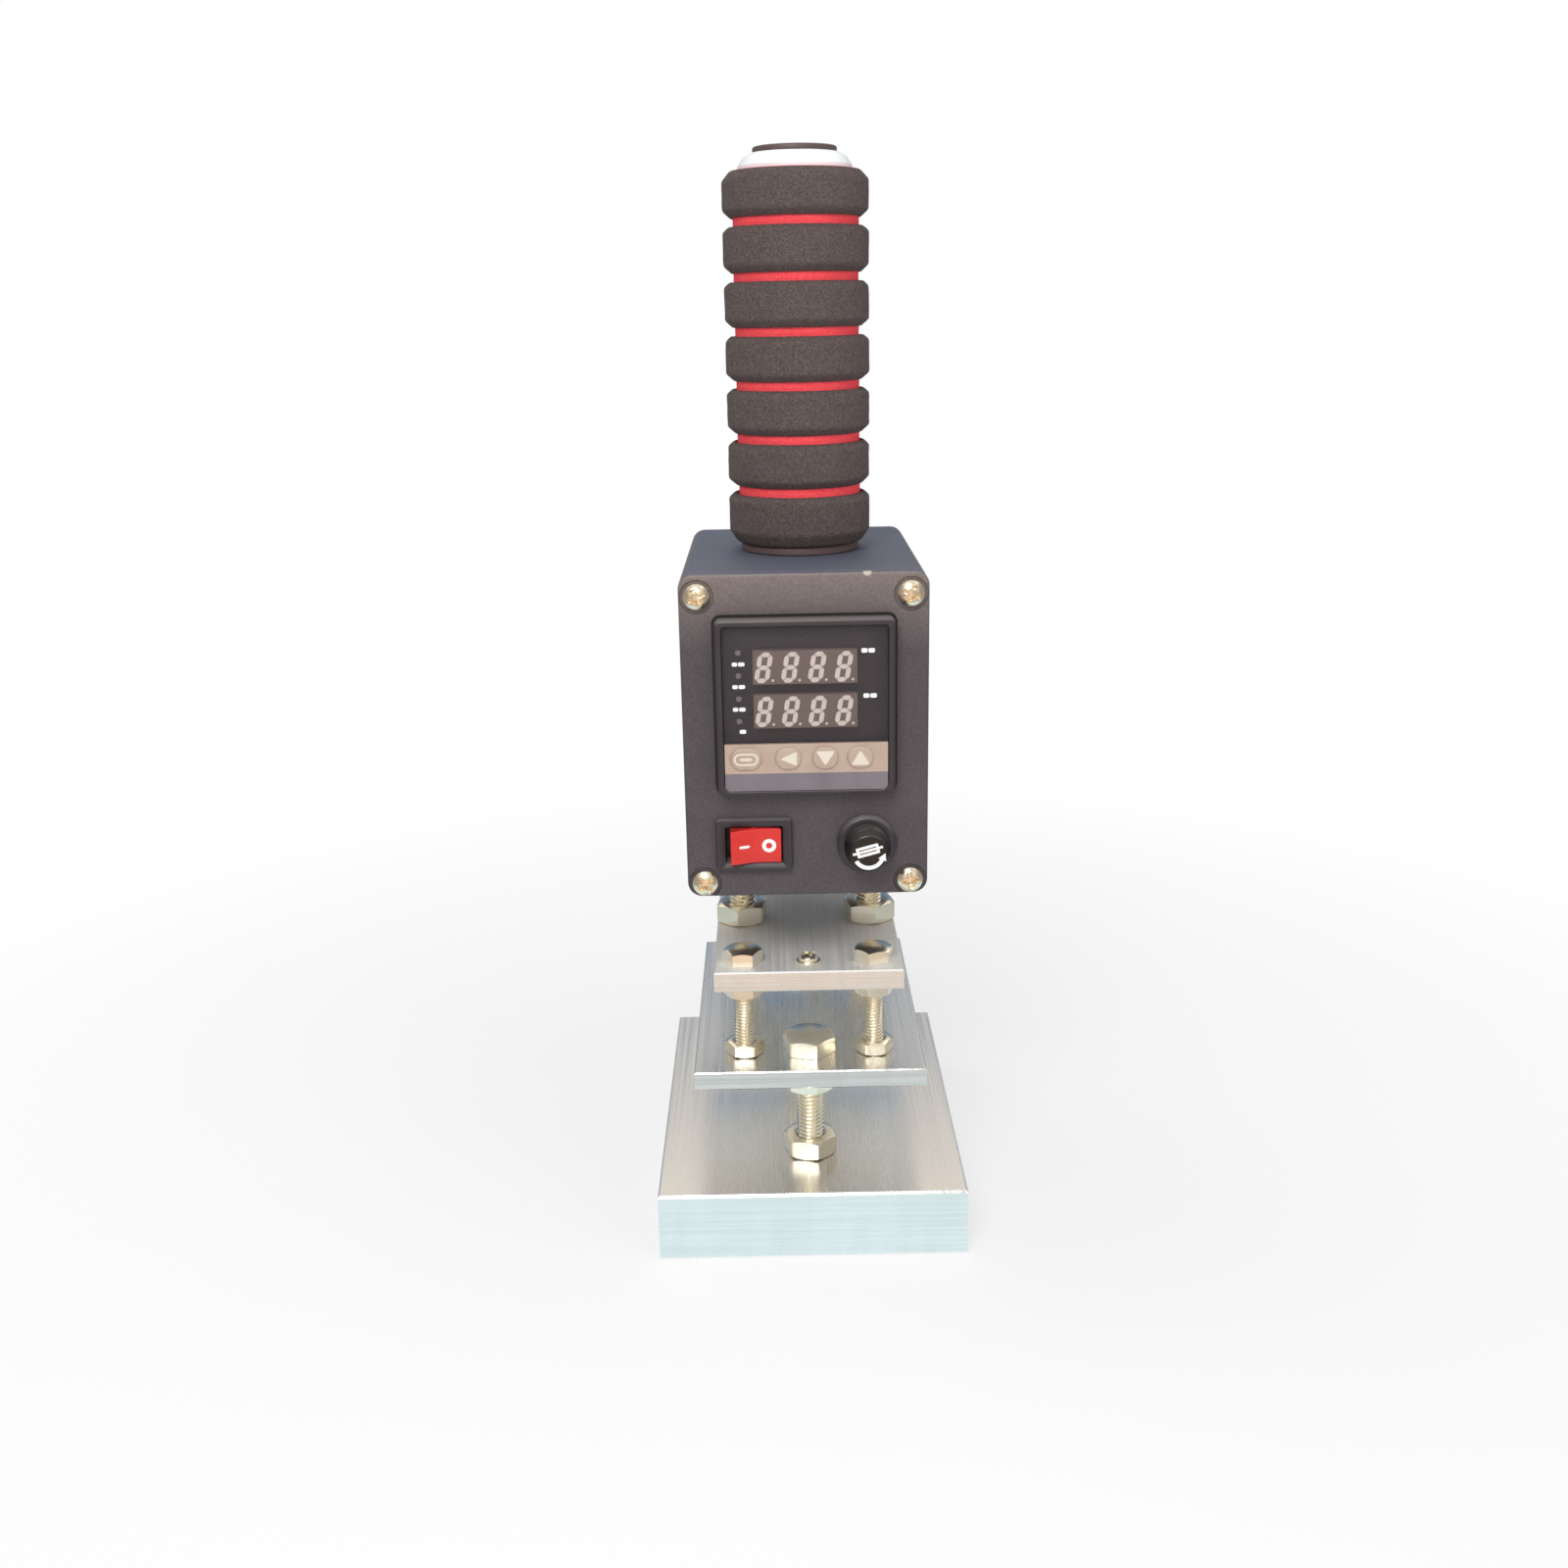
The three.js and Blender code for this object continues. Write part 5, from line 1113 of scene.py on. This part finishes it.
def uneven(points, size, depth):
    """Sum of twelve sine waves of about this wavelength in random directions, times a depth."""
    waves = random.normal(size=(3, 12))
    waves *= 2 * np.pi / size / np.linalg.norm(waves, axis=0) * random.uniform(0.7, 1.4, 12)
    return np.sin(points @ waves + random.uniform(0, 2 * np.pi, 12)).sum(-1) / 12**0.5 * depth


def foam_ring(inner, outer, bottom, top, lower, upper):
    """A ring with slanted and then rounded corners, each given by how far it goes in and how
    high it is. Its radius is stretched by the unevenness at each of its points."""
    profile = [[inner, bottom], [outer - lower[0], bottom], [outer, bottom + lower[1]]]
    profile += [[outer, top - upper[1]], [outer - upper[0], top], [inner, top]]
    low_soft, high_soft = min(lower[0], 1.2) / 2, min(upper[0], 1.2) / 2
    radii = [0.2, low_soft, 2 * low_soft, 2 * high_soft, high_soft, 0.2]
    points = ring(profile, radii, 120, 0.6)
    ripple = uneven(points, 16, 0.07) + uneven(points, 4, 0.035)
    reach = np.linalg.norm(points[..., :2], axis=2)
    inwards = np.clip((reach - inner - 0.6) / 1.5, 0, 1) * np.minimum(ripple - 0.12, 0)
    points[..., :2] *= (1 + inwards / reach)[..., None]
    points[-1] = points[0]
    return points


for i in range(1, 8):
    node = f"grip_ring_{i}"
    low, high = box_of(node)
    lower = CORNERS["bottom" if i == 7 else "lower"]
    upper = CORNERS["top" if i == 1 else "upper"]
    foam = [foam_ring(17.6, high[0], low[2], high[2], lower, upper)]
    made = make_piece(f"foam_ring_{i}", foam, foams["black foam"], "black_foam", [node], sharp=60)
low, high = box_of("grip_red_layer")
foam = [foam_ring(13.7, high[0], low[2], high[2], RED_CORNER, RED_CORNER)]
made = make_piece("foam_red_layer", foam, foams["red foam"], "red_foam", ["grip_red_layer"], sharp=60)
print("seven rings and the red layer")

# %% [markdown]
# Below the foam a black collar spreads the load on the box. Above it sits a white domed cap,
# closed by a black plug.

# %% Collar, cap and plug
low, high = box_of("handle_flange")
step = low[2] + 2.4
profile = [[4.2, low[2]], [high[0], low[2]], [high[0], step], [10.3, step], [10.3, high[2]], [4.2, high[2]]]
collar = ring(profile, [0.1, 0.4, 0.9, 0.2, 0.5, 0.3], 96)
make_piece("collar", [collar], plastics["dull"], "black_plastic", ["handle_flange"])

low, high = box_of("handle_cap")
brim = box_of("grip_red_layer")[1][2] + SEAT
profile = [[6.7, low[2]], [10.3, low[2]], [10.3, brim], [15.65, brim], [15.65, brim + 1.1]]
profile += [[14.2, high[2] - 1.2], [12, high[2]], [6.7, high[2]]]
cap = ring(profile, [0.1, 0.3, 0.1, 0.3, 0.6, 1.6, 0.8, 0.3], 96)
make_piece("domed_cap", [cap], plastics["white"], "white_plastic", ["handle_cap"])

brim = high[2] + SEAT
low, high = box_of("cap_plug")
profile = [[0, low[2]], [6.3, low[2]], [6.3, brim], [11.5, brim], [11.5, high[2]]]
profile += [[9.6, high[2]], [9.2, high[2] - 0.4], [0, high[2] - 0.5]]
profile = rounded(profile, [0, 0.2, 0.1, 0.3, 0.6, 0.2, 0.2, 0], 4, False)
make_piece("plug", [turned(profile, 96)], plastics["dull"], "black_plastic", ["cap_plug"])
print("collar, cap and plug")

# %% [markdown]
# ## Heaters, probe and leads
# At the back of the block the ends of two cartridge heaters stick out, and between them the
# temperature probe with its hexagon head. Their leads run in braided glass sleeves up to a
# rubber grommet in the box. A sleeve is a circle carried along a smooth curve: the curve goes
# through given points with a cubic between each two, and the circle stands square to it.

# %% Heaters and probe
for side in ("left", "right"):
    node = "cartridge_heater_" + side
    on_heater = {"way": "rear", "spot": middle_of(node) * [1, 0, 1]}
    low, high = box_of(node)
    y0, y1 = low[1], high[1]
    profile = [[0, y0], [6, y0], [6, y1], [5.4, y1], [5.4, y1 - 1.2], [0, y1 - 1.2]]
    sheath = turned(rounded(profile, [0, 0.6, 0.25, 0.1, 0, 0], 4, False), 56)
    make_piece("heater_sheath_" + side, [sheath], zinc, "plated_steel", [node], **on_heater)
    profile = [[0, y1 - 2], [5.3, y1 - 2], [5.3, y1 - 0.5], [0, y1 - 0.3]]
    plug = turned(rounded(profile, [0, 0.1, 0.5, 0], 4, False), 56)
    make_piece("heater_plug_" + side, [plug], plain["ceramic"], "white_plastic", **on_heater)
low, high = box_of("thermocouple_probe")
spot = middle_of("thermocouple_probe") * [1, 0, 1]
head = box_of("heater_block")[1][1] + SEAT
shells = [disc(3, low[1], head + 1, 0, 32), hexagon(10, head, high[1], below=False)]
make_piece("probe_fitting", shells, zinc, "plated_steel", ["thermocouple_probe"], way="rear", spot=spot)
print("heaters and probe")

# %% Braided sleeves
ROUND, PITCH_MM = 18, 1.3  # bundles once round, and millimetres from bundle to bundle
braid, tree, shader, place = new_material("braided glass sleeving", Roughness=0.75)
uv = add_node(tree, "UVMap", {"uv_map": "turns_and_mm"})
parts = add_node(tree, "SeparateXYZ", {0: uv}).outputs
waves = []
for lean in (1, -1):
    turns = {"operation": "MULTIPLY", 0: parts["X"], 1: lean * ROUND * 2 * np.pi}
    turns = add_node(tree, "Math", turns)
    phase = {"operation": "MULTIPLY_ADD", 0: parts["Y"], 1: 2 * np.pi / PITCH_MM, 2: turns}
    waves.append(add_node(tree, "Math", {"operation": "SINE", 0: add_node(tree, "Math", phase)}))
woven = add_node(tree, "Math", {"operation": "MAXIMUM", 0: waves[0], 1: waves[1]})
woven = add_node(tree, "MapRange", {"From Min": -0.8, "Value": woven})
tone = add_node(tree, "Mix", RGBA | {0: woven, 6: linear("#9d9584"), 7: linear("#ded8c8")})
bump = add_node(tree, "Bump", {"Strength": 0.6, "Distance": 0.0003, "Height": woven})
set_up(shader, {"Base Color": tone, "Normal": bump})


def smooth_curve(points, per_span):
    """The cubic that runs through the points at a pace set by the square root of their distance,
    as in the solids: on each span two blends of straight runs are blended once more."""
    p = np.asarray(points, float)
    p = np.vstack([2 * p[0] - p[1], p, 2 * p[-1] - p[-2]])
    knots = np.r_[0, np.cumsum(np.linalg.norm(np.diff(p, axis=0), axis=1) ** 0.5)]
    p0, p1, p2, p3 = (p[k : len(p) - 3 + k, None] for k in range(4))
    t0, t1, t2, t3 = (knots[k : len(p) - 3 + k, None, None] for k in range(4))
    t = t1 + (t2 - t1) * np.linspace(0, 1, per_span, endpoint=False)[None, :, None]
    a1 = ((t1 - t) * p0 + (t - t0) * p1) / (t1 - t0)
    a2 = ((t2 - t) * p1 + (t - t1) * p2) / (t2 - t1)
    a3 = ((t3 - t) * p2 + (t - t2) * p3) / (t3 - t2)
    b1 = ((t2 - t) * a1 + (t - t0) * a2) / (t2 - t0)
    b2 = ((t3 - t) * a2 + (t - t1) * a3) / (t3 - t1)
    curve = ((t2 - t) * b1 + (t - t1) * b2) / (t2 - t1)
    return np.vstack([curve.reshape(-1, 3), p[-2]])


def sleeve(points, diameter, lean, segments=28):
    """A circle carried along the curve. Its plane is square to the curve's direction, and its
    first axis is square to a fixed lean that the curve never follows, so that it can't flip."""
    path = smooth_curve(points, 14)
    along = np.gradient(path, axis=0)
    along /= np.linalg.norm(along, axis=1)[:, None]
    first = np.cross(along, np.array(lean, float))
    first /= np.linalg.norm(first, axis=1)[:, None]
    second = np.cross(along, first)
    angle = full_turn(segments)[None, :, None]
    circle = np.cos(angle) * first[:, None] + np.sin(angle) * second[:, None]
    rows = path[:, None] + diameter / 2 * circle
    ends = [path[k] + np.zeros((1, segments, 3)) for k in (0, -1)]
    return np.concatenate([ends[0], rows, ends[1]])


BLOCK_BACK, BOX_BACK, HEATER_Z = 61, 46, 10
HEATER_X, PROBE_X = 24, 10
TRUNK_D, HEATER_LEAD_D, PROBE_LEAD_D = 7, 4.6, 3.6
TRUNK_Y = BLOCK_BACK + 10
LEAD_X, LEAD_Z = 14, box_of("enclosure_body")[0][2] + 13
trunk = [[0, TRUNK_Y, HEATER_Z + 10], [1, TRUNK_Y, box_of("lower_plate")[0][2]]]
trunk += [[6, TRUNK_Y, box_of("upper_plate")[1][2]], [LEAD_X, TRUNK_Y - 3, LEAD_Z - 12]]
trunk += [[LEAD_X, BOX_BACK + ahead, LEAD_Z - drop] for ahead, drop in ((9, 1), (2, 0), (-9, 0))]
shells = [sleeve(trunk, TRUNK_D, (1, 0, 0))]
for side in (-1, 1):
    start = BLOCK_BACK + 3.3
    branch = [[side * HEATER_X, start, HEATER_Z], [side * HEATER_X, start + 2, HEATER_Z]]
    branch += [[side * x, TRUNK_Y, HEATER_Z + up] for x, up in ((20, 0), (8, 6), (1, 18))]
    shells.append(sleeve(branch, HEATER_LEAD_D, (side, -1, -1)))
start = BLOCK_BACK + 4.4
probe_lead = [[PROBE_X, start, HEATER_Z], [PROBE_X, start + 1.5, HEATER_Z]]
probe_lead += [[x, TRUNK_Y, HEATER_Z + up] for x, up in ((7, 6), (1, 24))]
shells.append(sleeve(probe_lead, PROBE_LEAD_D, (1, -1, -1)))
make_piece("braided_leads", shells, braid, "sleeving", ["heater_harness"], sharp=60)

profile = [[3.6, 36], [6, 40.9], [6, 42.9], [4.5, 42.9], [4.5, 46.1], [6, 46.1], [6, 47.9], [3.6, 47.9]]
grommet = ring(profile, [0.1, 0.4, 0.3, 0.1, 0.1, 0.3, 0.6, 0.3], 48)
grommet[..., 2] = np.maximum(grommet[..., 2], 40.8)
spot = [LEAD_X, 0, LEAD_Z]
make_piece("grommet", [grommet], plastics["satin"], "black_plastic", way="rear", spot=spot)
print(len(shells), "sleeves and a grommet")

# %% [markdown]
# ## The cable gland
# The mains cord would enter at the back, through a nylon gland: a hexagon that lies on the box,
# and a domed nut with grip ribs that squeezes a seal round the cord.

# %% Cable gland
low, high = box_of("cable_gland_body")
on_gland = {"way": "rear", "spot": middle_of("cable_gland_body") * [1, 0, 1]}
seat = BOX_BACK + SEAT
profile = [[3.5, low[1]], [6, low[1]], [6, high[1]], [3.5, high[1]]]
shells = [ring(profile, [0.3, 0.4, 0.4, 0.3], 56), hexagon(15, seat, seat + 4, 5.5, below=False)]
make_piece("gland_body", shells, plastics["satin"], "black_plastic", ["cable_gland_body"], **on_gland)

low, high = box_of("cable_gland_nut")
profile = [[6.2, low[1]], [7.5, low[1]], [7.5, high[1] - 3], [5, high[1]]]
profile += [[3.5, high[1]], [3.5, low[1] + 6.2], [6.2, low[1] + 6.2]]
profile = rounded(profile, [0.1, 0.3, 1.2, 0.5, 0.3, 0.1, 0.1])
profile = np.vstack([profile, profile[:1]])
r, h = profile[:, :1], profile[:, 1:]
ribbed = (r > 6.6) & (h < high[1] - 2.5) & (h > low[1] + 0.8)
ribs = -0.35 * np.clip(np.cos(18 * full_turn(144)) * 2, 0, 1) * ribbed
nut = turned(profile, 144, ribs)
make_piece("gland_dome_nut", [nut], plastics["satin"], "black_plastic", ["cable_gland_nut"], **on_gland)
print("cable gland")
